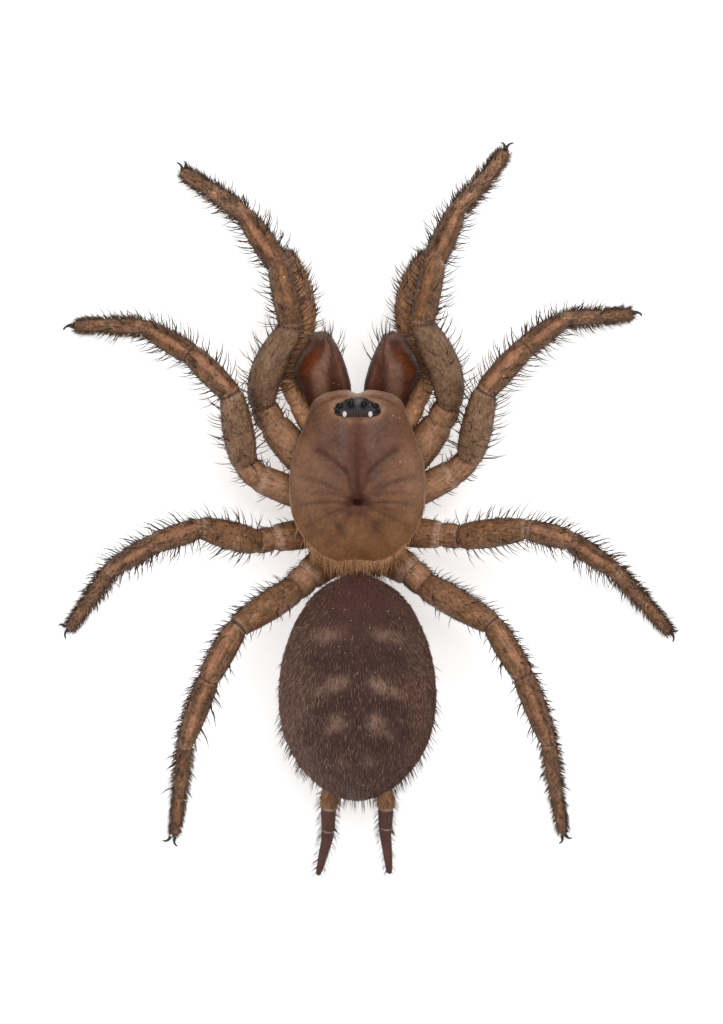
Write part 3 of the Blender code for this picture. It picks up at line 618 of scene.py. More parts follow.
def hairs(skin, u, v, length, lean, width, tone, curl=0.5, stray=0.18, bent=True, lie=None,
          vary=0.12):
    """Hairs at (u, v): length and radius in mm, lean in degrees from upright to lying."""
    random = skin.random
    n = len(u)
    root, out, along = skin.at(u, v)
    if lie is not None:
        along = unit(lie(root, out, along))
    length = length * random.uniform(0.62, 1.25, n)
    tilt = np.radians(lean + random.normal(0, 7, n))[:, None]
    aside = np.cross(out, along)
    way = unit(out * np.cos(tilt) + along * np.sin(tilt) + aside * random.normal(0, stray, n)[:, None])
    tip_way = unit(way + along * curl)
    size = length[:, None]
    side = unit(np.cross(way, np.where(np.abs(way[:, 2:]) > 0.9, [[1.0, 0, 0]], [[0, 0, 1.0]])))
    over = np.cross(side, way)
    base = root - out * ROOT_DEPTH
    turns = [(math.cos(a), math.sin(a)) for a in (0.0, 2 * math.pi / 3, 4 * math.pi / 3)]
    width = (np.zeros(n) + width)[:, None]
    ring = [base + (side * c + over * s) * width for c, s in turns]
    levels, ends = [ring], [0.0, 0.0, 0.0]
    if bent:
        middle = base + way * size * 0.5
        levels.append([middle + (side * c + over * s) * width * 0.8 for c, s in turns])
        ends += [0.5, 0.5, 0.5]
        tip = middle + tip_way * size * 0.5
        faces = [(0, 1, 4, 3), (1, 2, 5, 4), (2, 0, 3, 5), (3, 4, 6), (4, 5, 6), (5, 3, 6)]
    else:
        tip = base + unit(way + tip_way) * size
        faces = [(0, 1, 3), (1, 2, 3), (2, 0, 3)]
    points = np.stack([p for level in levels for p in level] + [tip], axis=1)
    points[:, :, 2] = np.maximum(points[:, :, 2], FLOOR_GAP)
    ends = np.tile(np.array(ends + [1.0]), (n, 1))
    tones = np.repeat(np.clip(tone + random.normal(0, vary, n), 0, 1)[:, None], points.shape[1], 1)
    uv = np.stack([u % 1.0, np.clip(v, 0, 1)], axis=1) * (1 - 2 * MARGIN) + MARGIN
    uv = uv[:, None, :] + np.array(BENT if bent else STRAIGHT)[None] * PATCH
    return {"points": points, "faces": faces, "tone": tones, "tip": ends, "uv": uv}


def coat(name, batches, finish):
    """One mesh from batches of hairs."""
    points, tones, tips, corners, sizes, uvs, offset = [], [], [], [], [], [], 0
    for batch in batches:
        n, k = batch["points"].shape[:2]
        points.append(batch["points"].reshape(-1, 3))
        tones.append(batch["tone"].ravel())
        tips.append(batch["tip"].ravel())
        loops = np.concatenate([np.array(f) for f in batch["faces"]])
        start = offset + np.arange(n)[:, None] * k
        corners.append((start + loops[None]).ravel())
        uvs.append(batch["uv"][:, loops].reshape(-1, 2))
        sizes.append(np.tile([len(f) for f in batch["faces"]], n))
        offset += n * k
    points, sizes = np.concatenate(points) * MM, np.concatenate(sizes)
    mesh = bpy.data.meshes.new(name)
    mesh.vertices.add(len(points))
    mesh.vertices.foreach_set("co", points.astype(np.float32).ravel())
    corners = np.concatenate(corners).astype(np.int32)
    mesh.loops.add(len(corners))
    mesh.loops.foreach_set("vertex_index", corners)
    mesh.polygons.add(len(sizes))
    starts = np.concatenate([[0], np.cumsum(sizes)[:-1]]).astype(np.int32)
    mesh.polygons.foreach_set("loop_start", starts)
    mesh.update(calc_edges=True)
    paint(mesh, {"tone": np.concatenate(tones), "tip": np.concatenate(tips)})
    flat = mesh.uv_layers.new(name="OFBake")
    flat.data.foreach_set("uv", np.concatenate(uvs).astype(np.float32).ravel())
    mesh.polygons.foreach_set("use_smooth", np.ones(len(sizes), bool))
    mesh.materials.append(finish)
    piece = bpy.data.objects.new(name, mesh)
    bpy.context.scene.collection.objects.link(piece)
    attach(piece, "root")
    print(name, "triangles", int(np.sum(sizes - 2)))
    return piece


# %% [markdown]
# ## The legs' measurements
# These are the solids' own values. A leg has seven segments, named from the body outward. The
# hip is its root. A heading is measured from straight out towards the head, and a lift from
# the floor. The metatarsus takes whatever drop is left, so that the foot stands on the floor.

# %% Leg sizes
FOOT_HEIGHT = 0.12
SEGMENTS = ("coxa", "trochanter", "femur", "patella", "tibia", "metatarsus", "tarsus")
PAIRS = {
    1: {"hip": (1.10, -0.87, 0.98), "length": (1.42, 0.54, 2.18, 1.54, 1.62, 1.38, 0.80),
        "joint": (0.60, 0.66, 0.58, 0.52, 0.52, 0.38, 0.31, 0.22),
        "middle": (0.84, 0.69, 0.80, 0.62, 0.58, 0.39, 0.31)},
    2: {"hip": (0.93, -0.12, 0.98), "length": (1.52, 0.50, 1.84, 1.36, 1.44, 1.22, 0.78),
        "joint": (0.58, 0.64, 0.56, 0.50, 0.49, 0.35, 0.28, 0.20),
        "middle": (0.72, 0.62, 0.75, 0.59, 0.52, 0.35, 0.28)},
    3: {"hip": (0.77, 0.54, 0.98), "length": (1.22, 0.46, 1.68, 1.12, 1.44, 1.24, 1.02),
        "joint": (0.52, 0.58, 0.54, 0.46, 0.45, 0.35, 0.28, 0.20),
        "middle": (0.72, 0.60, 0.69, 0.55, 0.49, 0.34, 0.27)},
    4: {"hip": (0.27, 0.90, 0.955), "length": (1.17, 0.48, 1.93, 1.40, 1.84, 1.52, 1.04),
        "joint": (0.80, 0.72, 0.62, 0.50, 0.50, 0.36, 0.27, 0.18),
        "middle": (0.86, 0.70, 0.71, 0.60, 0.54, 0.34, 0.24)},
}
DEPTH = (1.0, 1.0, 1.14, 1.06, 1.02, 1.0, 1.0)
BOW = (0.0, 0.0, 0.07, 0.05, 0.03, 0.02, 0.02)
FEMUR_SWAY = {1: 0.17, 2: 0.0, 3: 0.0, 4: 0.0}
# Of each leg: side, pair, and the headings and lifts of its segments
LEGS = {
    "left_1": (1, 1, (51, 62, 111, 79, 56, 36, 33), (5, 16, 29, -12, -25, -37, -26)),
    "right_1": (-1, 1, (54, 63, 109, 79, 66, 48, 55), (5, 29, 26, -6, -33, -39, -20)),
    "left_2": (1, 2, (23, 45, 80, 45, 30, 3, -2), (4, 16, 27, -13, -24, -39, -21)),
    "right_2": (-1, 2, (28, 42, 77, 48, 36, 4, 5), (4, 16, 28, -2, -34, -42, -24)),
    "left_3": (1, 3, (-8, -13, 15, -19, -30, -54, -55), (5, 24, 37, -2, -34, -42, -28)),
    "right_3": (-1, 3, (-4, -7, 7, -14, -34, -47, -49), (5, 15, 25, -16, -24, -41, -8)),
    "left_4": (1, 4, (-38, -44, -33, -61, -70, -83, -83), (5, 24, 36, -9, -27, -35, -20)),
    "right_4": (-1, 4, (-31, -44, -30, -59, -69, -81, -80), (4, 14, 21, 8, -22, -37, -19)),
}
LEG_NODES = ("coxa_trochanter", "femur", "patella_tibia", "metatarsus_tarsus")
PALP_SEGMENTS = ("coxa", "trochanter", "femur", "patella", "tibia", "tarsus")
PALP = {"hip": (0.78, -1.42, 0.92), "length": (1.22, 0.66, 1.08, 0.80, 0.96, 0.66),
        "joint": (0.44, 0.46, 0.42, 0.42, 0.44, 0.40, 0.20),
        "middle": (0.56, 0.48, 0.50, 0.50, 0.48, 0.34)}
# Of each palp: side, headings and lifts
PALPS = {
    "left_palp": (1, (60, 64, 114, 92, 70, 62), (2, 6, 6, -10, -42, -28)),
    "right_palp": (-1, (60, 66, 117, 95, 70, 58), (2, 6, 6, -10, -42, -28)),
}
PALP_NODES = ("coxa_trochanter", "femur_patella", "tibia_tarsus")
PALP_DEPTH = (1.0, 1.0, 1.08, 1.0, 1.0, 1.0)
print("legs", len(LEGS), "palps", len(PALPS))

# %% [markdown]
# ## The path of a limb
# A limb's middle line runs through its joints. It could be a bevelled curve, but a curve has a
# round section everywhere, and a leg is deeper than wide and pinched at each joint. So the
# line is sampled finely, its corners are rounded, and each sample keeps its own width and
# depth, its segment and how far along the segment it is.

# %% Limb paths
SAMPLE = 0.02
ROUNDING = 0.13
# How much narrower each segment is at its joints, from the coxa outward
JOINT_PINCH = (0.05, 0.06, 0.06, 0.05, 0.06, 0.04, 0.04)
# Over what length, in millimetres, a limb closes at its root and at its foot
ROOT_END, FOOT_END = 0.25, 0.15
# Half of a width, less a little, so that the skin lies inside its solid
HALF = 0.49


def heading_vector(side, heading, lift):
    """The direction of a heading and a lift, both in degrees."""
    h, e = math.radians(heading), math.radians(lift)
    return np.array([side * math.cos(h) * math.cos(e), -math.sin(h) * math.cos(e), math.sin(e)])


def box_smooth(values, reach):
    """Running mean with the ends held."""
    padded = np.concatenate([np.repeat(values[:1], reach, 0), values, np.repeat(values[-1:], reach, 0)])
    total = np.cumsum(np.concatenate([np.zeros_like(padded[:1]), padded]), axis=0)
    width = 2 * reach + 1
    return (total[width:] - total[:-width]) / width


def rounded(distance, reach):
    """From nought at an end to one at reach, on a quarter circle."""
    return np.sqrt(np.clip(1 - np.clip(1 - distance / reach, 0, 1) ** 2, 0, 1))


class Limb:
    """A leg or palp: its sampled middle line and sizes, and a place function."""

    def __init__(self, side, sizes, headings, lifts, depth, planted, sway=0.0, bows=None):
        self.side, self.sizes = side, sizes
        out, back, height = sizes["hip"]
        points = [np.array([side * out, back, height])]
        lifts = list(lifts)
        lengths = self.lengths = sizes["length"]
        drop = sum(l * math.sin(math.radians(e)) for i, (l, e) in enumerate(zip(lengths, lifts))
                   if i != planted)
        lifts[planted] = math.degrees(math.asin((FOOT_HEIGHT - height - drop) / lengths[planted]))
        for length, heading, lift in zip(lengths, headings, lifts):
            points.append(points[-1] + heading_vector(side, heading, lift) * length)
        self.points = np.array(points)
        line, segment, share = [], [], []
        for i, length in enumerate(lengths):
            t = np.arange(0, 1, SAMPLE / length)
            a, b = points[i], points[i + 1]
            way = (b - a) / length
            across = unit(np.cross(way, UP)[None])[0]
            up = np.cross(across, way)
            arch = np.sin(math.pi * t)[:, None]
            sideways = np.sin(math.pi * t ** 0.8)[:, None] * (-side * sway if i == 2 else 0.0)
            line.append(a + (b - a) * t[:, None] + up * (bows[i] if bows else 0) * arch + across * sideways)
            segment.append(np.full(len(t), i))
            share.append(t)
        self.segment, self.share = np.concatenate(segment), np.concatenate(share)
        self.line = box_smooth(np.concatenate(line), int(ROUNDING / SAMPLE))
        way = unit(np.gradient(self.line, axis=0))
        self.front = unit(np.cross(way, UP)) * side
        self.up = np.cross(self.front, way) * side
        self.way = way
        self.span = len(self.line) - 1
        self.length = float(np.sum(np.linalg.norm(np.diff(self.line, axis=0), axis=1)))
        self.wide, self.deep = self.sizes_along(depth)

    def sizes_along(self, depth):
        """Half width and half depth at each sample, pinched and flared at the joints."""
        joint, middle = np.array(self.sizes["joint"]), np.array(self.sizes["middle"])
        lengths, i, t = np.array(self.lengths), self.segment, self.share
        a, b = joint[i], joint[i + 1]
        swell = np.sin(math.pi * t) ** 0.62
        wide = a + (b - a) * t + (middle[i] - (a + b) / 2) * swell
        deep = wide * (1 + (np.array(depth)[i] - 1) * swell)
        self.to_end = (1 - t) * lengths[i]
        self.from_start = t * lengths[i]
        last = i == len(lengths) - 1
        first = i == 0
        tight = np.array(JOINT_PINCH)[i]
        pinch = (np.where(last, 1, 1 - tight * hump(self.to_end, 0, 0.055))
                 * np.where(first, 1, 1 - 0.9 * tight * hump(self.from_start, 0, 0.08))
                 * np.where(last, 1, 1 + 0.3 * tight * hump(self.to_end, 0.13, 0.06)))
        ends = np.arange(len(i)) * SAMPLE
        closed = rounded(ends, ROOT_END) * rounded(ends[-1] - ends, FOOT_END)
        return wide * pinch * closed * HALF, deep * pinch * closed * HALF

    def sample(self, values, v):
        """Any of the sampled values at v, between samples too."""
        x = np.clip(v, 0, 1) * self.span
        i = np.clip(x.astype(int), 0, self.span - 1)
        f = x - i
        if values.ndim == 2:
            f = f[:, None]
        return values[i] * (1 - f) + values[i + 1] * f

    def place(self, u, v):
        """Where (u, v) lies: u = 0 is the side towards the head, u = 0.25 the top."""
        a = 2 * math.pi * u
        wide, deep = self.sample(self.wide, v), self.sample(self.deep, v)
        return (self.sample(self.line, v)
                + self.sample(self.front, v) * (wide * np.cos(a))[:, None]
                + self.sample(self.up, v) * (deep * np.sin(a))[:, None])

    def along_of(self, segment, t):
        """The v of the fraction t of a segment."""
        x = np.interp(segment + np.asarray(t, float), self.segment + self.share,
                      np.arange(len(self.segment)))
        return x / self.span


limbs = {}
for name, (side, pair, headings, lifts) in LEGS.items():
    limbs["leg_" + name] = Limb(side, PAIRS[pair], headings, lifts, DEPTH, 5, FEMUR_SWAY[pair], BOW)
for name, (side, headings, lifts) in PALPS.items():
    limbs[name] = Limb(side, PALP, headings, lifts, PALP_DEPTH, 4)
print({name: round(limb.length, 2) for name, limb in limbs.items()})

# %% [markdown]
# ## The paint of a leg
# Seen from above, a bare amber stripe runs along the patella and the tibia with a darker line
# on each side of it. The femora of the front legs are olive. At each joint the shell ends in a
# dark edge with pale soft skin between, and where patella meets tibia the pale line rises in an
# arch over the top. These masks are worked out for each point of the skin.

# %% Leg masks
# How amber each segment of each pair is, and how dark its sides are, from the coxa outward
AMBER = {1: (0.80, 0.80, 0, 0, 0, 1.00, 1.00), 2: (0.85, 0.90, 0.20, 0.1, 0.1, 0.75, 0.85),
         3: (0.10, 0.45, 0.0, 0.25, 0.2, 0.45, 0.55), 4: (0.35, 0.90, 0.10, 0.25, 0.25, 0.35, 0.45)}
SIDE_SHADE = (0, 0, 0, 0.20, 0.38, 0.12, 0.06)
# How smooth and free of dots each segment is
BARE = {1: (0.8, 0.8, 0.6, 0.2, 0, 0, 0), 2: (0.8, 0.8, 0.5, 0.2, 0, 0, 0),
        3: (0.5, 0.6, 0.2, 0.1, 0, 0, 0), 4: (0.6, 0.7, 0.3, 0.2, 0, 0, 0)}
# How pale the soft skin is at each segment's end and start
SOFT_ENDS = (0.9, 0.9, 0.55, 0.0, 0.45, 0.3, 0.0)
SOFT_STARTS = (0.0, 0.9, 0.55, 0.45, 0.0, 0.3, 0.3)


def step_between(x, low, high, soft):
    """One between low and high, with soft edges."""
    return 1 / (1 + np.exp(-(x - low) / soft)) / (1 + np.exp((x - high) / soft))


def leg_masks(limb, pair, palp=False):
    def masks(u, v):
        a = 2 * math.pi * u
        front, top = np.cos(a), np.sin(a)
        x = np.clip(v, 0, 1) * limb.span
        index = np.clip(np.rint(x).astype(int), 0, limb.span)
        segment, t = limb.segment[index], limb.share[index]
        end, start = limb.to_end[index], limb.from_start[index]
        patella, tibia = 3, 4
        last = len(limb.lengths) - 1
        upper = step_between(top, 0.0, 2.0, 0.12)
        centre = np.where(segment == patella, 0.20, -0.08 if pair == 1 else 0.0)
        wide = np.where(segment == patella, 0.34, 0.24) * np.clip(np.sin(math.pi * t) * 1.6, 0.3, 1)
        striped = np.isin(segment, (patella, tibia)) if not palp else np.zeros(len(t), bool)
        stripe = striped * upper * step_between(front, centre - wide, centre + wide, 0.07)
        faint = (segment == patella) & (pair == 1)
        stripe = stripe * step_between(t, 0.04, 0.96, 0.03) * np.where(faint, 0.12, 1.0)
        lines = striped * upper * (hump(front, centre - wide - 0.15, 0.10) * 0.7
                                   + hump(front, centre + wide + 0.13, 0.09))
        tailward = step_between(front, -2, -0.1, 0.15)
        olive = (segment == 2) * (1.0 if pair in (1, 2) else 0.25)
        olive = olive + (segment == patella) * step_between(front, -2, centre - wide - 0.1, 0.06) * 0.6
        amber = np.array(AMBER[pair])[segment]
        near_ends = hump(end, 0.05, 0.10) + hump(start, 0.05, 0.06)
        amber = amber + np.isin(segment, (tibia, 5)) * near_ends * 0.5
        if pair in (3, 4):
            amber = amber + (segment == 2) * tailward * hump(t, 0.32, 0.28) * 0.5
        if palp:
            olive, amber = 0 * t, np.isin(segment, (0, 1)) * 1.0 + (segment > 1) * 0.28
        arch = np.where(segment == tibia, start, -end)
        rise = 0.13 - 0.27 * np.abs(front)
        near_joint = np.isin(segment, (patella, tibia)) & (np.abs(arch) < 0.4) & (top > -0.2)
        arc = near_joint * hump(arch, rise, 0.020) * (0.25 + 0.75 * step_between(front, -2, -0.55, 0.1))
        soft_end, soft_start = np.array(SOFT_ENDS)[segment], np.array(SOFT_STARTS)[segment]
        sag = 0.05 * front + 0.02 * np.sin(7 * front)
        membrane = hump(end, 0.035, 0.017) * soft_end + hump(start, 0.05, 0.018) * soft_start
        hip_band = plateau(end + sag, 0.13, 0.085) * (segment == 0) * (not palp) * (pair > 1)
        membrane = np.where(segment < 2, 0.6 * membrane, membrane) + 0.5 * hip_band
        if pair == 4:
            hind = 0.75 * (segment == 2) * step_between(front, -2, -0.62, 0.08)
            membrane = membrane + hind * hump(t, 0.30, 0.22)
        crease = (hump(end, 0.0, 0.022) * (segment < last) * 0.8
                  + hump(start, 0.0, 0.024) * (segment > 0) * 0.8
                  + 0.5 * hump(end + sag, 0.23, 0.02) * (segment == 0)
                  + hump(start, 0.11, 0.03) * (segment > 0) * 0.35) * np.where(segment > 4, 0.35, 1)
        crease = crease * np.where(segment < 2, 0.6, 1)
        wave = 0.5 + 0.5 * np.sin(x * 0.11 + 2.3 * front)
        # Shade: the lines beside the stripe and the darker sides of the tibia and feet are the shell's own
        # colour. The dark edges seen from above are partly dark hair and partly painted shade that rounds the
        # leg, and the darker underside is painted shade.
        shade = lines * 0.6 + 0.75 * step_between(np.abs(front), 0.86, 2, 0.05) + 0.25 * (top < -0.3)
        shade = shade + np.array(SIDE_SHADE)[segment] * (1 - stripe) * (0.7 + 0.3 * wave)
        shade = shade + (segment > 4) * (0.10 * (front > 0.1) + 0.20 * hump(np.abs(front), 0.6, 0.22))
        # On the palps this darkening is lessened, a painted light that makes up for the shade they stand in
        if palp:
            shade = np.where(segment < 3, 0.40, 0.70) * shade
        bare = np.maximum(np.array(BARE[pair])[segment], 0.5 * stripe)
        return {"bare": bare, "olive": olive, "amber": amber, "stripe": stripe,
                "shade": np.clip(shade, 0, 0.85), "membrane": membrane + arc,
                "crease": crease * (1 - arc)}
    return masks


skins = {}
for order, (name, limb) in enumerate(limbs.items()):
    palp = name.endswith("palp")
    pair = 1 if palp else LEGS[name[4:]][1]
    rows = int(limb.length / 0.045)
    piece = wrap(name + "_skin", 28, rows, limb.place, palp_shell if palp else leg_shell,
                 leg_masks(limb, pair, palp))
    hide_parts(*[name + "_" + node for node in (PALP_NODES if palp else LEG_NODES)])
    skins[name] = Skin(limb.place, 100 + order)
    print(piece.name, len(piece.data.polygons), "faces")

# %% [markdown]
# ## The coat of a leg
# Four kinds of hair grow on a leg. Fine down lies towards the foot and is densest on the
# metatarsus and tarsus. Setae stand out at a slant. Long thin hairs fringe both sides, and
# stout black bristles stand in loose rows. The bare stripes keep little hair. The hair is
# painted lighter and more golden on the side towards the tail, a painted light, and darker on
# the side towards the head, a painted shade. A palp has one more row, of golden hairs, on the
# side that faces the jaw.

# %% Leg hair
# Of each segment: how many short hairs, setae, long hairs and bristles, and the lengths of each
LEG_COAT = {
    "coxa": ((260, 0.10), (26, 0.17), (14, 0.27), (0, 0.3)),
    "trochanter": ((160, 0.10), (26, 0.17), (12, 0.27), (0, 0.3)),
    "femur": ((900, 0.11), (120, 0.18), (50, 0.54), (2, 0.34)),
    "patella": ((560, 0.11), (130, 0.18), (40, 0.50), (2, 0.34)),
    "tibia": ((760, 0.12), (240, 0.19), (52, 0.48), (3, 0.35)),
    "metatarsus": ((900, 0.12), (290, 0.20), (32, 0.38), (3, 0.32)),
    "tarsus": ((800, 0.11), (270, 0.165), (16, 0.25), (1, 0.24)),
}
# Of each pair, a share of the long hairs' number and length, and how many of four stand on the
# side towards the tail
SHAGGY = {1: (1.0, 2), 2: (1.0, 2), 3: (0.9, 2), 4: (0.62, 1)}
# Of each pair of legs, the stout spines: segment, how far along, side (1 head, -1 tail), length
SPINES = {
    1: (("metatarsus", 0.92, -1, 0.36), ("metatarsus", 0.45, -1, 0.38), ("metatarsus", 0.12, -1, 0.28),
        ("metatarsus", 0.08, 1, 0.36), ("tibia", 0.86, -1, 0.32), ("tibia", 0.62, 1, 0.44),
        ("tibia", 0.25, 1, 0.42)),
    2: (("metatarsus", 0.93, -1, 0.38), ("metatarsus", 0.55, -1, 0.34), ("metatarsus", 0.30, 1, 0.34),
        ("tibia", 0.9, -1, 0.32), ("tibia", 0.45, 1, 0.40), ("tibia", 0.2, 1, 0.36),
        ("patella", 0.6, 1, 0.38)),
    3: (("patella", 0.35, 1, 0.42), ("patella", 0.8, 1, 0.50), ("patella", 0.6, -1, 0.32),
        ("tibia", 0.32, 1, 0.48), ("tibia", 0.75, 1, 0.52), ("tibia", 0.9, -1, 0.42),
        ("tibia", 0.5, -1, 0.30), ("metatarsus", 0.25, 1, 0.40), ("metatarsus", 0.7, 1, 0.38),
        ("metatarsus", 0.45, -1, 0.40), ("metatarsus", 0.92, -1, 0.36)),
    4: (("patella", 0.62, -1, 0.44), ("tibia", 0.35, -1, 0.48), ("tibia", 0.68, -1, 0.46),
        ("tibia", 0.95, -1, 0.26), ("metatarsus", 0.35, 1, 0.38), ("metatarsus", 0.85, 1, 0.38),
        ("metatarsus", 0.5, -1, 0.38), ("metatarsus", 0.85, -1, 0.34)),
}
PALP_COAT = {
    "coxa": ((160, 0.10), (12, 0.18), (4, 0.28), (0, 0.3)),
    "trochanter": ((110, 0.10), (10, 0.18), (4, 0.26), (0, 0.3)),
    "femur": ((330, 0.11), (50, 0.18), (14, 0.30), (1, 0.24)),
    "patella": ((320, 0.11), (110, 0.18), (20, 0.34), (2, 0.26)),
    "tibia": ((480, 0.12), (190, 0.18), (32, 0.38), (3, 0.28)),
    "tarsus": ((520, 0.12), (220, 0.16), (14, 0.26), (1, 0.20)),
}
# Of each kind of hair: lean in degrees, radius at the root, tone, curl and stray
KINDS = ((66, 0.0058, 0.56, 0.3, 0.25), (50, 0.0092, 0.22, 0.3, 0.22),
         (30, 0.0130, 0.06, 0.35, 0.20), (42, 0.0225, 0.0, 0.45, 0.15))
VARIED = (0.34, 0.28, 0.10, 0.02)


def limb_coat(name, limb, skin, table, segments, spines=(), shaggy=(1.0, 2)):
    """The coat of one limb. Long hairs and setae stand at even distances along it."""
    random = skin.random
    batches = []
    palp = name.endswith("palp")
    for segment, t, side, length in spines:
        lean, width, tone, curl, stray = KINDS[3]
        u = np.array([0.02 if side > 0 else 0.48])
        v = limb.along_of(segments.index(segment), t + random.normal(0, 0.02, 1))
        batches.append(hairs(skin, u, v, length, lean, width, tone, curl, stray, True, vary=VARIED[3]))
    for i, segment in enumerate(segments):
        for kind, (count, length) in enumerate(table[segment]):
            if kind == 2:
                count, length = int(count * shaggy[0]), length * shaggy[0]
            if not count:
                continue
            lean, width, tone, curl, stray = KINDS[kind]
            order = np.arange(count)
            u = random.uniform(0, 1, count)
            t = 0.01 + 0.98 * (order + random.uniform(0.1, 0.9, count)) / count
            feet = segment in ("metatarsus", "tarsus")
            if kind == 1 and feet:
                lean, width = lean - 8, width * 1.12
                u = np.where(order % 5 < 4, 0.5 * (order % 2) + random.normal(0, 0.045, count), u)
            elif kind == 1 and shaggy[1] < 2:
                u = np.where(order % 2 == 0, random.normal(0, 0.05, count), u)
            if kind == 2:
                sides = 0.5 * (order % 4 >= 4 - shaggy[1])
                u = np.where(random.uniform(0, 1, count) < 0.1, 0.25, sides) + random.normal(0, 0.05, count)
            if kind == 3:
                u = random.choice([-0.03, 0.53, 0.17, 0.33], count) + random.normal(0, 0.02, count)
                t = random.uniform(0.12, 0.85, count)
            if segment in ("patella", "tibia") and kind < 3:
                centre = 0.20 if segment == "patella" else -0.05
                bare = (np.abs(np.cos(2 * math.pi * u) - centre) < 0.33) & (np.sin(2 * math.pi * u) > 0)
                keep = ~bare | (random.uniform(0, 1, count) < (0.10, 0.03, 0.1)[kind])
                u, t = u[keep], t[keep]
            v = limb.along_of(i, t)
            # Lighter, golden hair on the tail side and darker hair on the head side: painted light and shade
            golden = np.clip(-np.cos(2 * math.pi * u), -1, 1) * (0.16, 0.22, 0.06, 0.0)[kind]
            if kind < 2:
                golden = golden + (0.26 if palp else (0.36, 0.12)[kind] if feet else 0.0)
            batches.append(hairs(skin, u, v, length, lean, width, tone + golden, curl, stray, kind > 0,
                                 vary=VARIED[kind]))
    return coat(name + "_coat", batches, limb_hair)


for name, limb in limbs.items():
    if name.endswith("palp"):
        limb_coat(name, limb, skins[name], PALP_COAT, PALP_SEGMENTS)
        # A row of stout golden hairs along the side of the palp that faces the jaw
        random, count = skins[name].random, 90
        place_along = limb.along_of(2, 0.15 + 3.1 * (np.arange(count) + random.uniform(0, 1, count)) / count)
        row = hairs(skins[name], random.normal(0.10, 0.035, count), place_along, 0.17, 58, 0.0120, 0.55,
                    0.4, 0.3, True, vary=0.25)
        coat(name + "_golden_row", [row], golden_hair)
    else:
        pair = LEGS[name[4:]][1]
        limb_coat(name, limb, skins[name], LEG_COAT, SEGMENTS, SPINES[pair], SHAGGY[pair])

# %% [markdown]
# ## Tubes
# The fangs, the spinnerets and the waist are tubes that bend and taper. A grid is wrapped round
# a smooth path for each, and the radius closes to nothing at both ends.

# %% Tubes
# Over what share of its length a tube closes at its start and at its end
TUBE_START, TUBE_END = 0.05, 0.03


def tube_place(path, radii):
    """A place function round a path of points with a radius at each."""
    path = np.array(path, float)
    stations = np.linspace(0, 1, len(path))
    radii = np.array(radii, float)

    def centre(v):
        return np.stack([smooth_through(v, stations, path[:, k]) for k in range(3)], axis=1)

    def place(u, v):
        v = np.clip(v, 0, 1)
        way = unit(centre(np.clip(v + 0.01, 0, 1)) - centre(np.clip(v - 0.01, 0, 1)))
        side = unit(np.cross(way, UP))
        over = np.cross(side, way)
        ends = rounded(v, TUBE_START) * rounded(1 - v, TUBE_END)
        radius = smooth_through(v, stations, radii) * ends
        a = 2 * math.pi * u
        return centre(v) + side * (radius * np.cos(a))[:, None] + over * (radius * np.sin(a))[:, None]
    return place


def join(name, pieces):
    """Join pieces into one object."""
    clear_selection()
    for piece in pieces:
        piece.select_set(True)
    bpy.context.view_layer.objects.active = pieces[0]
    bpy.ops.object.join()
    pieces[0].name = name
    pieces[0].data.name = name
    return pieces[0]


# %% [markdown]
# ## Claws
# Each foot ends in two black claws, and each is the same small hook. The hook is made once, as
# by hand: a circle is extruded eight times, and each time the new ring is moved, turned and made
# smaller, until it is a point. Then it is copied to every foot, with its own heading and roll.
# Rolled flat it shows its whole curve from above, and rolled on edge it bends to the floor.

# %% One hook
CLAW_LENGTH = 0.30
CLAW_RADIUS = 0.042
CLAW_BEND = 105.0
STEPS = 8

clear_selection()
bpy.ops.mesh.primitive_circle_add(vertices=10, radius=CLAW_RADIUS, fill_type="NGON",
                                  rotation=(0.0, math.pi / 2, 0.0))
hook = bpy.context.object
hook.name = "claw_hook"
bpy.ops.object.transform_apply(location=True, rotation=True, scale=True)
bpy.ops.object.mode_set(mode="EDIT")
bpy.ops.mesh.select_all(action="SELECT")
spot = Vector((0.0, 0.0, 0.0))
for step in range(STEPS):
    turned = math.radians(CLAW_BEND) * (step + 0.5) / STEPS
    stride = Vector((math.cos(turned), math.sin(turned), 0.0)) * (CLAW_LENGTH / STEPS)
    spot = spot + stride
    bpy.ops.mesh.extrude_region_move(TRANSFORM_OT_translate={"value": stride})
    bpy.ops.transform.rotate(value=-math.radians(CLAW_BEND) / STEPS, orient_axis="Z", center_override=spot)
    shrink = 0.95 if step < 2 else 0.87 if step < STEPS - 1 else 0.15
    bpy.ops.transform.resize(value=(shrink, shrink, shrink), center_override=spot)
bpy.ops.mesh.select_all(action="SELECT")
bpy.ops.mesh.remove_doubles(threshold=0.0002)
bpy.ops.mesh.normals_make_consistent(inside=False)
bpy.ops.object.mode_set(mode="OBJECT")
bpy.ops.object.shade_smooth()
hook.data.materials.append(claw_shell)
print("hook", len(hook.data.polygons), "faces, size", [round(d, 3) for d in hook.dimensions])

# %% [markdown]
# A claw's place on its foot is given by how far forward and sideways its root lies from the
# foot's end, its heading, which way it bends seen from above (1 is towards the head, -1 away)
# and its roll in degrees.

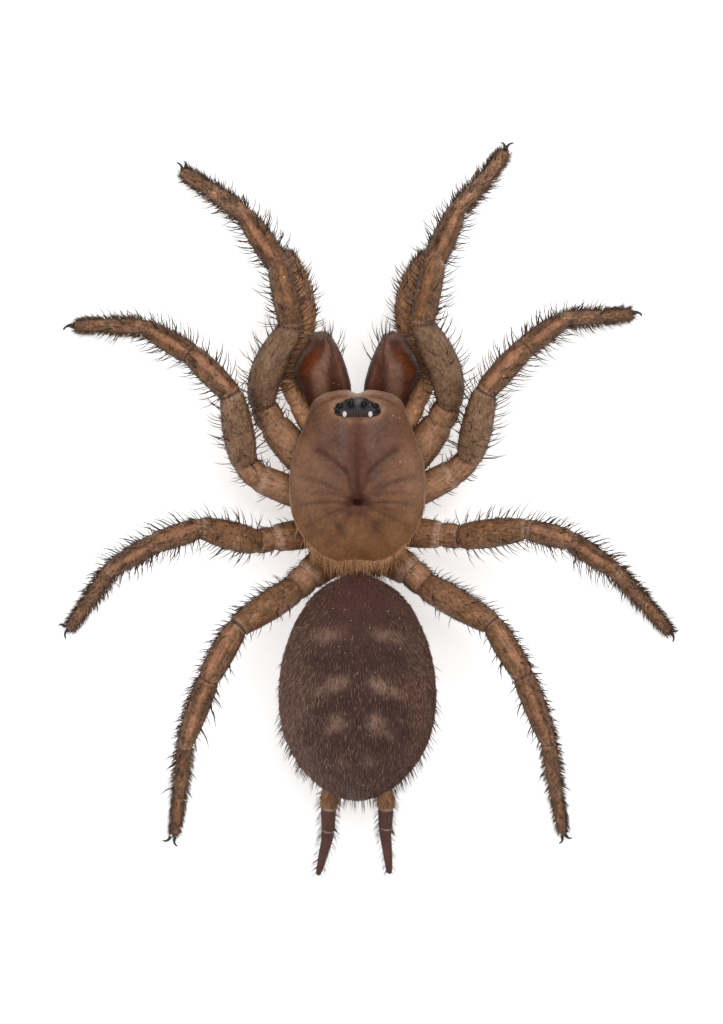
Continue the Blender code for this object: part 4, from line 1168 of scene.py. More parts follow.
# %% Claws on the feet
# A claw's root above the foot's end, its dip in degrees, and its least height
CLAW_RISE, CLAW_DIP, CLAW_FLOOR = 0.06, -6, 0.012
CLAWS = {
    "leg_left_1": ((-0.05, 0.11, 102, -1, 65), (-0.01, -0.01, 112, -1, 15)),
    "leg_right_1": ((0.01, 0.03, 89, 1, 60), (0.0, -0.02, 96, -1, 5)),
    "leg_left_2": ((-0.03, 0.01, 30, -1, 0), (0.0, -0.03, 38, -1, 10)),
    "leg_right_2": ((-0.03, 0.02, 34, -1, 5), (0.0, 0.0, 35, -1, 40)),
    "leg_left_3": ((-0.05, 0.10, 36, -1, 65), (-0.06, 0.0, -20, -1, 0)),
    "leg_right_3": ((-0.08, 0.05, -26, 1, 65), (-0.06, -0.01, -22, -1, 20)),
    "leg_left_4": ((0.01, 0.09, -71, 1, 40), (0.01, -0.03, -54, -1, 30)),
    "leg_right_4": ((0.0, 0.04, -64, 1, 55), (0.01, -0.05, -63, -1, 45)),
}
for name, pair in CLAWS.items():
    limb = limbs[name]
    tip, side = limb.points[-1], limb.side
    forward = unit(np.array([[limb.way[-1][0], limb.way[-1][1], 0.0]]))[0]
    headward = np.cross(forward, UP) * side
    copies = []
    for ahead, aside, heading, bend, roll in pair:
        copy = hook.copy()
        copy.data = hook.data.copy()
        bpy.context.scene.collection.objects.link(copy)
        root = tip + forward * ahead + headward * aside + UP * CLAW_RISE
        way = Vector(heading_vector(side, heading, CLAW_DIP))
        over = Vector(np.cross(UP, way)) * (-bend * side)
        over.normalize()
        dip = way.cross(over).normalized()
        if dip.z > 0:
            dip = -dip
        angle = math.radians(roll)
        hook_way = over * math.cos(angle) + dip * math.sin(angle)
        normal = way.cross(hook_way).normalized()
        turn = Matrix((way, hook_way, normal)).transposed().to_4x4()
        copy.data.transform(Matrix.Translation(Vector(root)) @ turn)
        lowest = min(corner.co.z for corner in copy.data.vertices)
        if lowest < CLAW_FLOOR:
            copy.data.transform(Matrix.Translation((0, 0, CLAW_FLOOR - lowest)))
        copies.append(copy)
    claws = join(name + "_claws", copies)
    to_metres(claws)
    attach(claws, "root")
bpy.data.objects.remove(hook)
print("claws on", len(CLAWS), "feet")

# %% [markdown]
# ## The carapace
# The shield over the head and legs is a low dome. A disc suits it better than a tube: the
# points run from the middle of the back out to the rim and home again under it. Its outline
# has two shallow lobes in front. The dark pit in the middle is where the stomach's muscle is
# fixed, and fine grooves run out from it between the legs.

# %% Carapace shape
CARAPACE_RIM = 1.62
CARAPACE_UNDER = 1.56
FOVEA = (0.0, -0.13)
WIDTH_AT = ((-2.76, -2.73, -2.69, -2.60, -2.49, -2.28, -2.0, -1.67, -1.41, -1.15, -0.85, -0.45, 0.0, 0.45,
             0.86, 1.10, 1.22, 1.28),
            (0.58, 0.72, 0.82, 0.95, 1.055, 1.135, 1.24, 1.36, 1.45, 1.53, 1.59, 1.61, 1.57, 1.43, 1.14,
             0.88, 0.66, 0.45))
TOP_AT = ((-2.79, -2.62, -2.4, -1.9, -1.2, -0.3, 0.4, 0.9, 1.29),
          (2.10, 2.19, 2.27, 2.37, 2.34, 2.20, 2.06, 1.92, 1.76))
BROW = 1.24


def carapace_outline():
    """The rim's radius at each angle from the middle of the shield."""
    y = np.linspace(-2.76, 1.28, 400)
    half = smooth_through(y, *WIDTH_AT)
    front = np.linspace(0, 0.58, 60)
    lobe = -2.79 + 0.10 * np.exp(-((front / 0.17) ** 2)) + 0.03 * (front / 0.58) ** 4
    rear = np.linspace(0.45, 0, 20)
    x = np.concatenate([front, half, rear])
    y = np.concatenate([lobe, y, 1.28 - 0.03 * np.cos(rear / 0.45 * math.pi / 2)])
    angle, radius = np.arctan2(x, -(y + 0.75)), np.hypot(x, y + 0.75)
    order = np.argsort(angle)
    return angle[order], radius[order]


OUTLINE = carapace_outline()
# Of each groove on the left side: where it starts and ends, how wide and how strong it is
GROOVES = (
    ((0.92, -1.35), (0.29, -0.85), 0.068, 1.0), ((0.32, -0.92), (0.06, -0.25), 0.055, 0.85),
    ((0.52, -1.62), (0.16, -0.62), 0.050, 0.45), ((0.48, -0.82), (0.12, -0.38), 0.045, 0.50),
    ((1.30, -0.74), (0.24, -0.30), 0.060, 0.60), ((1.05, -0.36), (0.22, -0.22), 0.040, 0.40),
    ((1.38, -0.06), (0.30, -0.10), 0.040, 0.60), ((1.22, 0.46), (0.22, 0.02), 0.060, 0.50),
    ((0.74, 0.92), (0.13, 0.10), 0.070, 0.45), ((0.50, 0.34), (0.34, 0.66), 0.090, 0.75),
    ((0.92, -2.40), (0.30, -2.62), 0.035, 0.70), ((0.86, 0.10), (0.30, 0.04), 0.035, 0.35))


def carapace_height(x, y, inward):
    """Height of the shield's upper face; inward is 0 in the middle and 1 at the rim."""
    front = y < -1.5
    half = smooth_through(y, *WIDTH_AT)
    half = np.where(front, np.maximum(half, BROW), half)
    top = smooth_through(y, *TOP_AT) - CARAPACE_RIM
    flat = np.clip(np.abs(x) / half, 0, 1)
    head = hump(y, -1.7, 0.95) * 0.06 * (hump(x, 0, 0.8) - 0.5)
    steep = 7 + 23 * step_between(y, -4, -2.25, 0.12)
    dome = (top + head) * (1 - 0.62 * flat**2.2) * np.sqrt(np.clip(1 - inward**steep, 0, 1))
    dx, dy = x - FOVEA[0], y - FOVEA[1]
    pit = 0.14 * hump(dx, 0, 0.12) * hump(dy + 0.9 * dx**2, 0, 0.055)
    return CARAPACE_RIM + dome - pit - 0.03 * groove_mask(x, y)


def groove_mask(x, y):
    """How deep in a groove a point is, the same on both sides."""
    total = 0
    for (ax, ay), (bx, by), wide, strength in GROOVES:
        length = math.hypot(bx - ax, by - ay)
        t = ((np.abs(x) - ax) * (bx - ax) + (y - ay) * (by - ay)) / length**2
        held = np.clip(t, 0, 1)
        bowed = 0.05 * np.sin(math.pi * held)
        gap = np.hypot(np.abs(x) - ax - (bx - ax) * held, y - ay - (by - ay) * held + bowed)
        fade = 0.35 + 0.65 * np.sin(math.pi * np.clip(0.15 + 0.7 * held, 0, 1))
        total = total + strength * fade * np.exp(-((gap / wide) ** 2))
    return np.clip(total, 0, 1)


def carapace_place(u, v):
    """u turns round the shield; v runs from the top's middle to the rim and back under."""
    turn = 2 * math.pi * (u % 1.0) - math.pi
    radius = np.interp(np.abs(turn), *OUTLINE)
    v = np.clip(v, 0, 1)
    upper = v < 0.7
    share = np.where(upper, np.sin(v / 0.7 * math.pi / 2), np.clip((1 - v) / 0.3, 0, 1))
    x = np.sin(turn) * radius * share
    y = -0.75 - np.cos(turn) * radius * share
    z = np.where(upper, carapace_height(x, y, share), CARAPACE_UNDER + 0.06 * share**6)
    return np.stack([x, y, z], axis=1)


def carapace_masks(u, v):
    x, y, z = carapace_place(u, v).T
    dx, dy = x - FOVEA[0], y - FOVEA[1]
    share = np.where(v < 0.7, np.sin(np.clip(v, 0, 0.7) / 0.7 * math.pi / 2), 1.0)
    angle, away = np.arctan2(dx, -dy), np.hypot(dx, dy)
    rays = (np.sin(13 * angle + 1.7 * np.sin(3 * angle + 4 * away)) + np.sin(29 * angle + 2)) * 0.25 + 0.3
    streak = (hump(x, 0.01 * np.sin(4 * y), 0.085) * step_between(y, -1.9, -0.1, 0.12) * 0.72
              + np.clip(rays, 0, 1) * hump(away, 0.45, 0.42) * 0.45
              + hump(np.abs(dx), 0, 0.50) * hump(dy, 0.03, 0.05) * 0.35)
    halo = step_between(np.hypot(dx / 0.35, (dy - 0.10) / 0.31), -1, 1, 0.09)
    halo = halo * step_between(dy, -2, 0.10, 0.012) * (0.80 + 0.20 * hump(dx, 0, 0.2))
    halo = halo + hump(dx, 0, 0.13) * step_between(dy, -0.55, 0.0, 0.05) * 0.45
    red = (hump(x, 0, 0.30 + 0.12 * (y + 1.0)) * step_between(y, -2.2, -0.95, 0.13) * 0.95
           + hump(x, 0, 0.24) * step_between(y, -1.4, -0.1, 0.15) * 0.6
           + plateau(dx, 0, 0.30) * hump(dy, 0.22, 0.09) * 0.75
           + 0.50 * hump(np.abs(x), 0.46, 0.36) * hump(y, -2.64 + 0.10 * x**2, 0.05)
           + 0.75 * hump(np.abs(x), 0.86, 0.16) * hump(y, -1.38 - 0.3 * (np.abs(x) - 0.86), 0.12)
           + 0.50 * hump(np.abs(x) - 0.30 - 0.5 * (y - 0.33), 0, 0.09) * step_between(y, 0.3, 0.85, 0.06)
           + 0.50 * hump(np.abs(x), 1.28, 0.16) * hump(y, -1.75, 0.22))
    sheen = (hump(np.abs(x), 0.34, 0.13) * step_between(y, -2.1, -1.0, 0.12) * 0.9
             + hump(np.abs(x), 0.50 + 0.35 * (y + 0.6), 0.13) * hump(y, -0.62, 0.26) * 0.6)
    pale = (0.75 * hump(np.abs(x), 1.30, 0.30) * step_between(y, -1.9, 0.7, 0.2)
            + 0.35 * hump(np.abs(x), 0.30, 0.12) * hump(y, -1.4, 0.5)
            + 0.35 * hump(np.abs(x), 0.85, 0.16) * hump(y, -0.75, 0.35)
            + 0.85 * step_between(y, -3, -2.50, 0.06) + 0.35 * step_between(y, 0.95, 3, 0.06)
            + 1.2 * hump(np.hypot(x / 0.60, (y + 2.33) / 0.31), 1.0, 0.13))
    pit = hump(dx, 0, 0.12) * hump(dy + 0.9 * dx**2, 0, 0.055)
    rim = hump(share, 1.0, 0.016) * 0.65 * (v < 0.72)
    rim = rim + 0.80 * hump(share, 1.0, 0.045) * (y < -2.5)
    round_mound = 0.55 * hump(np.hypot(x / 0.585, (y + 2.31) / 0.285), 1.0, 0.035)
    rim = rim + round_mound * step_between(np.abs(x), 0.36, 3, 0.03) * (y < -2.2)
    head = plateau(x, 0, 1.08) * step_between(y, -2.12, -0.85, 0.12) * 0.66
    return {"pale": pale, "streak": streak, "groove": groove_mask(x, y) * 0.85, "pit": pit, "rim": rim,
            "red": red, "rear": step_between(y, 0.1, 3, 0.15), "halo": halo, "head": head, "sheen": sheen}


carapace = wrap("carapace_shield", 192, 150, carapace_place, carapace_shell, carapace_masks)
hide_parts("carapace")
print("shield", len(carapace.data.polygons), "faces")

# %% [markdown]
# ## Eye mound and eyes
# Eight eyes sit on one low black mound near the front edge: two round ones in the middle, two
# at each side, and two small pearly ones behind. The mound starts as a sphere, is flattened,
# and its points are pushed into fine ridges. Each eye is a sphere stretched to an oval and
# sunk into it.

# %% Eye mound
MOUND = np.array([0.0, -2.345, 2.245])
MOUND_SIZE = np.array([0.555, 0.258, 0.165])


def ball(name, segments, rings, centre, size, finish, shape, masks):
    """A sphere whose points are moved by shape, then stretched to size and set at centre."""
    clear_selection()
    bpy.ops.mesh.primitive_uv_sphere_add(segments=segments, ring_count=rings, radius=1.0)
    piece = bpy.context.object
    piece.name = name
    mesh = piece.data
    mesh.name = name
    unit_ball = points_of(mesh)
    moved = shape(unit_ball) * np.asarray(size) + np.asarray(centre)
    mesh.vertices.foreach_set("co", moved.astype(np.float32).ravel())
    paint(mesh, masks(unit_ball))
    bpy.ops.object.shade_smooth()
    to_metres(piece)
    mesh.materials.append(finish)
    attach(piece, "root")
    return piece


def uneven(p):
    """Slow waves that differ from side to side, so that nothing on the mound is regular."""
    x, y = p[:, 0], p[:, 1]
    return (np.sin(9 * x + 4 * y + 1) + np.sin(13 * y - 7 * x) + np.sin(21 * x + 17 * y)) / 3


def ridge_wave(p):
    """Ridges that fan out from the front middle towards the rear, only in the middle part."""
    fan = np.arctan2(p[:, 0] * MOUND_SIZE[0], 0.5 + p[:, 1] * MOUND_SIZE[1])
    there = step_between(np.abs(p[:, 0]), -1, 0.40, 0.05) * step_between(p[:, 1], -0.25, 2, 0.08)
    return np.cos(66 * fan + 1.6 * uneven(p)) * there + 0.7 * uneven(1.9 * p) * (1 - there)


def mound_shape(p):
    """A crescent, arched in front and flat behind, with low ridges and bumps."""
    x, y, z = p.T
    rough = 1 + 0.025 * ridge_wave(p) + 0.05 * uneven(p) * np.clip(1 - z**2, 0, 1)
    raised = np.sign(z) * np.abs(z) ** 0.6
    return np.stack([x * rough, y * rough * (1 - 0.2 * x**2) + 0.35 * x**2,
                     raised * (1 + 0.05 * ridge_wave(p) + 0.06 * hump(x, 0, 0.35))], axis=1)


def mound_masks(p):
    """Grey between the middle eyes, dark ridges behind them, and dark hollows at the sides."""
    x, y = p[:, 0], p[:, 1]
    grey = plateau(x + 0.04, 0, 0.24) * step_between(y, -2, -0.22, 0.06)
    ring = hump(np.hypot((np.abs(x) - 0.26) * 0.56, (y + 0.34) * 0.25), 0.085, 0.045)
    dark = 0.56 - 0.50 * ridge_wave(p) + 0.15 * step_between(np.abs(x), 0.4, 3, 0.06) + 0.9 * ring
    dark = dark * (1 - 0.80 * grey)
    brown = 0.8 * hump(np.abs(x), 0.93, 0.14) + 0.3 * uneven(3 * p) + 0.5 * step_between(y, 0.35, 3, 0.1)
    return {"shade": dark + 0.3 * (1 - p[:, 2]) + 0.6 * step_between(y, 0.62, 3, 0.08), "brown": brown}


ball("eye_mound", 160, 48, MOUND, MOUND_SIZE, mound_shell, mound_shape, mound_masks)
EYES = {
    "anterior_median": (0.145, -2.43, 0.083, 0.083, dark_eye),
    "anterior_lateral": (0.415, -2.42, 0.10, 0.073, dark_eye),
    "posterior_lateral": (0.445, -2.26, 0.088, 0.058, dark_eye),
    "posterior_median": (0.300, -2.20, 0.060, 0.083, pearl_eye),
}


def lens_shape(p):
    """A bulging lens above a tighter collar, where the eye sits in the mound."""
    collar = 1 - 0.16 * hump(p[:, 2], 0.18, 0.10)
    return p * np.stack([collar, collar, 1 + 0.06 * np.clip(p[:, 2], 0, 1)], axis=1)


def lens_masks(p):
    return {"shade": step_between(p[:, 2], -2, 0.42, 0.05) + 0.25 * hump(p[:, 2], 0.42, 0.15)}


for name, (out, along, half_x, half_y, finish) in EYES.items():
    for word, side in (("left", 1), ("right", -1)):
        node = "eye_" + word + "_" + name
        low, high = (np.array(c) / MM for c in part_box(node))
        lifted = (0.0, 0.0, 0.02) if finish is pearl_eye else (0.0, 0.03 * (name == "anterior_lateral"), 0.0)
        eye = ball(node + "_lens", 32, 24, (low + high) / 2 + lifted, (high - low) / 2 * 0.98, finish,
                   lens_shape, lens_masks)
        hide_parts(node)
print("eyes", 2 * len(EYES))

# %% [markdown]
# ## The jaws
# Two stout jaws reach forward from under the shield, with a fang folded beneath each. A jaw
# is an oval tube that swells and then rounds off, so its sections come from one small table.
# The outer face glows amber where light passes through, and two dull stripes run along the top.

# %% Jaws
JAW_Y = (-4.12, -4.10, -4.05, -3.87, -3.55, -3.20, -2.85, -2.65, -2.40, -2.30)
JAW_INNER = (0.84, 0.76, 0.65, 0.50, 0.34, 0.22, 0.14, 0.13, 0.20, 0.40)
JAW_OUTER = (0.88, 0.98, 1.07, 1.17, 1.37, 1.49, 1.36, 1.26, 1.14, 0.90)
# How far across the pale stripe lies, from -1 inside to 1 outside
JAW_STRIPE_Y, JAW_STRIPE = (-4.12, -4.0, -3.65, -3.3, -2.85, -2.3), (-0.45, -0.40, -0.24, -0.03, 0.20, 0.22)
JAW_LOW = (1.27, 1.12, 1.00, 0.92, 0.86, 0.84, 0.86, 0.92, 0.98, 1.20)
JAW_HIGH = (1.29, 1.46, 1.68, 1.90, 2.12, 2.17, 1.98, 1.78, 1.52, 1.45)
# A little less than the solid, so that the skin lies inside it
JAW_FIT = 0.98
FANG_PATH = ((0.86, -3.90, 1.16), (0.86, -3.98, 0.95), (0.84, -3.90, 0.78), (0.79, -3.55, 0.71),
             (0.73, -3.15, 0.68), (0.70, -2.86, 0.64))
FANG_RADII = (0.15, 0.15, 0.125, 0.09, 0.055, 0.012)


def jaw_place(side):
    def place(u, v):
        v = np.clip(v, 0, 1)
        y = JAW_Y[0] + (JAW_Y[-1] - JAW_Y[0]) * (1 - np.cos(math.pi * v)) / 2
        inner, outer, low, high = (smooth_through(y, JAW_Y, table)
                                   for table in (JAW_INNER, JAW_OUTER, JAW_LOW, JAW_HIGH))
        ends = np.sqrt(np.clip(1 - (2 * v - 1) ** 30, 0, 1))
        a = 2 * math.pi * u
        c = np.cos(a)
        x = (inner + outer) / 2 + (outer - inner) / 2 * JAW_FIT * ends * np.sign(c) * np.abs(c) ** 0.9
        z = (low + high) / 2 + (high - low) / 2 * JAW_FIT * ends * np.sin(a)
        return np.stack([side * x, y, z], axis=1)
    return place


def jaw_masks(side):
    def masks(u, v):
        a = 2 * math.pi * u
        across = np.cos(a)
        top = step_between(np.sin(a), 0.0, 2, 0.12)
        y = jaw_place(side)(u, v)[:, 1]
        middle = smooth_through(y, JAW_STRIPE_Y, JAW_STRIPE) + 0.03 * np.sin(9 * y)
        amber = top * step_between(across, middle + 0.15, 0.84, 0.06) * step_between(y, -3.72, -3.14, 0.07)
        bloom = top * (plateau(across, middle, 0.225 + 0.16 * (y + 3.2)) * step_between(y, -4.15, -2.3, 0.08)
                       + hump(across, middle - 0.42, 0.10) * step_between(y, -3.95, -3.4, 0.10) * 0.45
                       + hump(across, -0.73, 0.10) * step_between(y, -3.40, -2.85, 0.08) * 0.75)
        bloom = bloom + 0.90 * step_between(y, -5, -3.99, 0.05)
        # The underside is darkened as painted shade
        shade = top * step_between(across, 0.80, 2, 0.05) * 0.8 + 0.5 * (np.sin(a) < -0.2)
        shade = shade + top * (
            0.80 * plateau(across, middle + 0.52, 0.32) * plateau(y, -3.86, 0.15)
            + 0.60 * plateau(across, middle - 0.36, 0.14) * step_between(y, -3.5, -2.5, 0.1)
            + 0.70 * step_between(across, -2, -0.88, 0.03))
        return {"amber": amber, "bloom": bloom, "shade": shade}
    return masks


jaw_skins = {}
for word, side in (("left", 1), ("right", -1)):
    jaw = wrap("jaw_" + word, 48, 64, jaw_place(side), jaw_shell, jaw_masks(side))
    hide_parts("chelicera_" + word)
    jaw_skins[word] = Skin(jaw_place(side), 300 + (side > 0))
    path = [(side * x, y, z) for x, y, z in FANG_PATH]
    fang = wrap("fang_curved_" + word, 18, 60, tube_place(path, FANG_RADII), fang_shell,
                lambda u, v: {"amber": 1.2 - v * 3})
    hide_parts("fang_" + word)
print("jaws and fangs done")

# %% [markdown]
# ## The abdomen
# The abdomen is an egg, a little wider behind its middle and flatter below. A sphere would be
# the quick way, but the grid lets its rows follow the egg's own sections. The four pairs of
# pale marks are soft spots that lie one pair behind the other.

# %% Abdomen shape
ABDOMEN_FRONT, ABDOMEN_REAR = 1.57, 6.84
# Half its width, and how far it reaches above and below its middle
ABDOMEN_HALF, ABDOMEN_RISE, ABDOMEN_DROP = 1.790, 1.57, 1.34
# Of each pair of marks: how far out, how far along, half its width and length, slant, strength
MARKS = ((0.70, 2.98, 0.34, 0.17, 0.15, 0.70), (0.52, 4.12, 0.26, 0.19, 0.25, 1.0),
         (0.88, 4.30, 0.26, 0.11, 0.15, 0.75), (0.45, 5.02, 0.24, 0.20, 0.10, 0.95),
         (0.72, 5.24, 0.14, 0.13, 0.5, 0.75), (0.30, 5.92, 0.17, 0.10, 0.0, 0.50))


def abdomen_place(u, v):
    v = np.clip(v, 0, 1)
    turn = math.pi * v
    t = (1 - np.cos(turn)) / 2
    full = np.sin(turn)
    half = ABDOMEN_HALF * full * (1 + 0.045 * hump(turn, 2.05, 0.5) - 0.02 * hump(turn, 0.9, 0.4)
                           - 0.12 * hump(turn, 0.2, 0.25))
    y = ABDOMEN_FRONT + (ABDOMEN_REAR - ABDOMEN_FRONT) * t
    middle = 1.55 + 0.36 * np.sin(math.pi * t) - 0.25 * t
    a = 2 * math.pi * u
    rise = np.where(np.sin(a) > 0, ABDOMEN_RISE, ABDOMEN_DROP) * full ** 0.93
    return np.stack([half * np.cos(a), y, middle + rise * np.sin(a)], axis=1)


def mark_strength(x, y, z):
    """How strong the pale marks are at a point of the back."""
    total = 0
    drift = 0.04 * np.sin(3 * x + 7 * y) + 0.03 * np.sin(11 * x - 5 * y) + 0.025 * np.sin(19 * y + 3 * x)
    for out, along, half_x, half_y, slant, strength in MARKS:
        dx = np.abs(x + 0.02 * np.sin(2 * y)) - out + drift
        dy = y - along - slant * dx + 0.03 * x + 0.8 * drift
        spot = np.exp(-((dx / half_x) ** 2 + (dy / half_y) ** 2) ** 1.5)
        total = np.maximum(total, strength * spot)
    return np.clip(total, 0, 1) * (z > 1.9)


# Of each dark blotch, one pair behind each pair of marks: how far out and along, half its size
BLOTCHES = ((0.95, 3.55, 0.34, 0.20), (0.30, 3.55, 0.22, 0.22), (0.92, 4.68, 0.34, 0.18),
            (0.22, 4.62, 0.18, 0.16), (0.62, 5.60, 0.30, 0.16), (1.10, 5.30, 0.22, 0.30))


def blotch_strength(x, y):
    """How strong the dark blotches are; they are never quite the same on both sides."""
    total = 0
    for out, along, half_x, half_y in BLOTCHES:
        dx = np.abs(x + 0.03 * np.sin(3 * y)) - out + 0.05 * np.sin(5 * y + 3 * x)
        dy = y - along + 0.05 * np.sin(6 * x) - 0.15 * (np.abs(x) - out)
        total = np.maximum(total, np.exp(-((dx / half_x) ** 2 + (dy / half_y) ** 2)))
    return np.clip(total, 0, 1)


def side_share(x, y):
    """How far out to the side a point is, where the coat is paler."""
    return step_between(np.abs(x) / 1.85, 0.62, 3, 0.09)


def abdomen_masks(u, v):
    x, y, z = abdomen_place(u, v).T
    return {"mark": mark_strength(x, y, z), "front": step_between(y, 0, 2.6, 0.35) * 0.8,
            "blotch": blotch_strength(x, y) * 0.8, "side": side_share(x, y),
            "under": step_between(z, -1, 0.75, 0.12) * 0.8}


abdomen = wrap("abdomen_skin", 96, 120, abdomen_place, abdomen_skin, abdomen_masks)
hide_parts("abdomen")
print("abdomen", len(abdomen.data.polygons), "faces")

# %% [markdown]
# ## The abdomen's coat
# Dense short hair lies backward all over, with longer hair among it, pale and dark. At the sides
# and rear there is more of the pale kind. The hair over a pale mark is pale too, so the marks
# show through the coat. A fringe low on the sides and behind points straight back, which gives
# the soft edge, and a few pale grains lie on the skin.

# %% Abdomen hair
belly_skin = Skin(abdomen_place, 400)
BACK = np.array([[0.0, 1.0, 0.0]])


def lie_back(root, out, along):
    """The coat's lie: backward over the skin, and a little down at the sides."""
    down = BACK + np.stack([root[:, 0] * 0.0, 0 * root[:, 0], -0.12 * np.abs(root[:, 0])], axis=1)
    return down - out * np.sum(down * out, axis=1, keepdims=True)


def abdomen_tone(u, v, base):
    """Pale over the marks and at the lower sides, dark on the back."""
    x, y, z = abdomen_place(u, v).T
    rear = 0.08 * step_between(y, 5.6, 9, 0.3)
    tone = base + 0.80 * mark_strength(x, y, z) + 0.30 * side_share(x, y) + rear + 0.2 * (z < 1.2)
    return tone * (1 - 0.6 * blotch_strength(x, y))


def abdomen_hair(count, length, lean, width, base_tone, bent, weight=None, curl=0.3, vary=0.14, stray=0.14):
    u, v = belly_skin.strew(count, weight)
    return hairs(belly_skin, u, v, length, lean, width, abdomen_tone(u, v, base_tone), curl, stray,
                 bent, lie_back, vary)


def back_weight(u, v):
    """Most of the long hair grows at the sides, and little of it on the front third."""
    x, y, z = abdomen_place(u, v).T
    rear = 0.50 * step_between(y, 3.2, 99, 0.4)
    return 0.12 + rear + 0.9 * side_share(x, y) * step_between(y, 2.1, 99, 0.25)


def rim_weight(u, v):
    """More long hair low on the sides and behind."""
    x, y, z = abdomen_place(u, v).T
    return hump(z, 1.45, 0.42) * step_between(y, 4.6, 9, 0.35) + 1e-5


def straight_back(root, out, along):
    return BACK + 0 * root


coat("abdomen_down", [abdomen_hair(54000, 0.12, 78, 0.0064, 0.03, False, vary=0.42)], body_hair)
pale_hair = abdomen_hair(9500, 0.19, 80, 0.0104, 0.66, True, back_weight, 0.15, 0.28, 0.08)
dark_hair = abdomen_hair(11000, 0.16, 78, 0.0092, -0.20, True, None, 0.15, 0.12, 0.08)
coat("abdomen_long_coat", [pale_hair, dark_hair], body_hair)
u, v = belly_skin.strew(300, rim_weight)
fringe = hairs(belly_skin, u, v, 0.35, 52, 0.0110, 0.22, 0.15, 0.10, True, straight_back, 0.25)
coat("abdomen_fringe", [fringe], body_hair)
coat("abdomen_grains", [abdomen_hair(260, 0.045, 50, 0.0130, 1.0, False, vary=0.1)], golden_hair)

# %% [markdown]
# ## Spinnerets
# The long pair has three parts with a pale ring between them. They trail on behind. The short
# pair is tucked beneath.

# %% Spinnerets
LONG_SPINNERETS = {
    "left": ((0.60, 6.50, 1.30), (0.665, 6.88, 1.22), (0.68, 7.12, 1.18), (0.69, 7.50, 1.12),
             (0.70, 7.68, 1.08), (0.815, 8.2, 0.98), (0.935, 8.65, 0.90)),
    "right": ((-0.60, 6.50, 1.30), (-0.665, 6.88, 1.22), (-0.66, 7.12, 1.18), (-0.66, 7.45, 1.12),
              (-0.655, 7.60, 1.08), (-0.71, 8.15, 0.98), (-0.757, 8.62, 0.90)),
}
LONG_RADII = (0.19, 0.205, 0.178, 0.158, 0.142, 0.104, 0.055)
SHORT_PATH = ((0.20, 6.40, 0.95), (0.21, 6.62, 0.84), (0.20, 6.78, 0.76), (0.19, 6.86, 0.72))
# Of each ring: its place, how much it slants, and how much it bows
RINGS = ((0.285, 0.004, 0.014), (0.58, 0.014, 0.010))


def spinneret_place(word):
    plain = tube_place(LONG_SPINNERETS[word], LONG_RADII)
    middle = tube_place(LONG_SPINNERETS[word], [1e-6] * 7)

    def place(u, v):
        core = middle(u * 0, v)
        pinch = 1 - sum(0.04 * hump(v, ring[0], 0.014) for ring in RINGS)
        return core + (plain(u, v) - core) * pinch[:, None]
    return place


def spinneret_masks(u, v):
    """Pale rings between the parts, an amber base and dark sides."""
    c, s = np.cos(2 * math.pi * u), np.sin(2 * math.pi * u)
    rings = sum(plateau(v + slant * c - bow * s ** 2, ring, 0.022) for ring, slant, bow in RINGS)
    return {"membrane": rings * 0.74, "amber": step_between(v, -1, 0.27, 0.012) * 0.95,
            "shade": 0.35 * step_between(np.abs(c), 0.7, 2, 0.1)}


for word, side in (("left", 1), ("right", -1)):
    place = spinneret_place(word)
    piece = wrap("spinneret_trailing_" + word, 24, 110, place, spinneret_skin, spinneret_masks)
    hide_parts("spinneret_long_" + word)
    tail = Skin(place, 500 + (side > 0))
    # piece, finish, then of each batch: count, length, lean, radius, bent, first and last place, tone
    for label, finish, rows in (
            ("spinneret_coat_", limb_hair, ((900, 0.08, 70, 0.0055, False, 0.30, 0.97, 0.25),
                                            (117, 0.25, 42, 0.0112, True, 0.06, 0.98, 0.10))),
            ("spinneret_fringe_", golden_hair, ((260, 0.10, 72, 0.0070, False, 0.10, 0.26, 0.42),
                                                (100, 0.21, 76, 0.0100, True, 0.06, 0.18, 0.46)))):
        batches = []
        for count, length, lean, width, bent, first, last, tone in rows:
            u, v = tail.random.uniform(0, 1, count), tail.random.uniform(first, last, count)
            if bent:
                order = np.arange(count)
                u = np.where(order % 3 == 2, u, 0.5 * (order % 3) + tail.random.normal(0, 0.04, count))
                if finish is golden_hair:
                    u = tail.random.normal(0.25, 0.11, count)
                v = first + (last - first) * (order // 3 + tail.random.uniform(0.2, 0.8, count)) / (count / 3)
            clear = np.min([np.abs(v - ring[0]) for ring in RINGS], axis=0) > 0.028
            batches.append(hairs(tail, u[clear], v[clear], length, lean, width, tone, 0.25, 0.12, bent,
                                 vary=0.45 if finish is golden_hair else 0.2))
        coat(label + word, batches, finish)
    path = [(side * x, y, z) for x, y, z in SHORT_PATH]
    stub = wrap("spinneret_tucked_" + word, 20, 30, tube_place(path, (0.12, 0.125, 0.10, 0.04)),
                spinneret_skin, lambda u, v: {"membrane": hump(v, 0.5, 0.03), "amber": 0.4})
    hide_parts("spinneret_short_" + word)
print("spinnerets done")

# %% [markdown]
# ## The underside
# The breast plate is a shield like the carapace, but flat and smaller, with the lip in front
# of it. The narrow waist joins the two halves of the body.

# %% Breast plate, lip and waist
BREAST_AT = ((-1.30, -1.2, -0.9, -0.3, 0.3, 0.8, 1.12, 1.22),
             (0.20, 0.56, 0.70, 0.66, 0.56, 0.42, 0.24, 0.08))
LIP_PATH = ((0, -1.37, 0.82), (0, -1.5, 0.82), (0, -1.64, 0.82), (0, -1.735, 0.82))
LIP_RADII = (0.24, 0.25, 0.22, 0.1)
WAIST_PATH = ((0, 1.24, 1.2), (0, 1.36, 1.28), (0, 1.5, 1.38), (0, 1.6, 1.44))
WAIST_RADII = (0.26, 0.26, 0.26, 0.26)


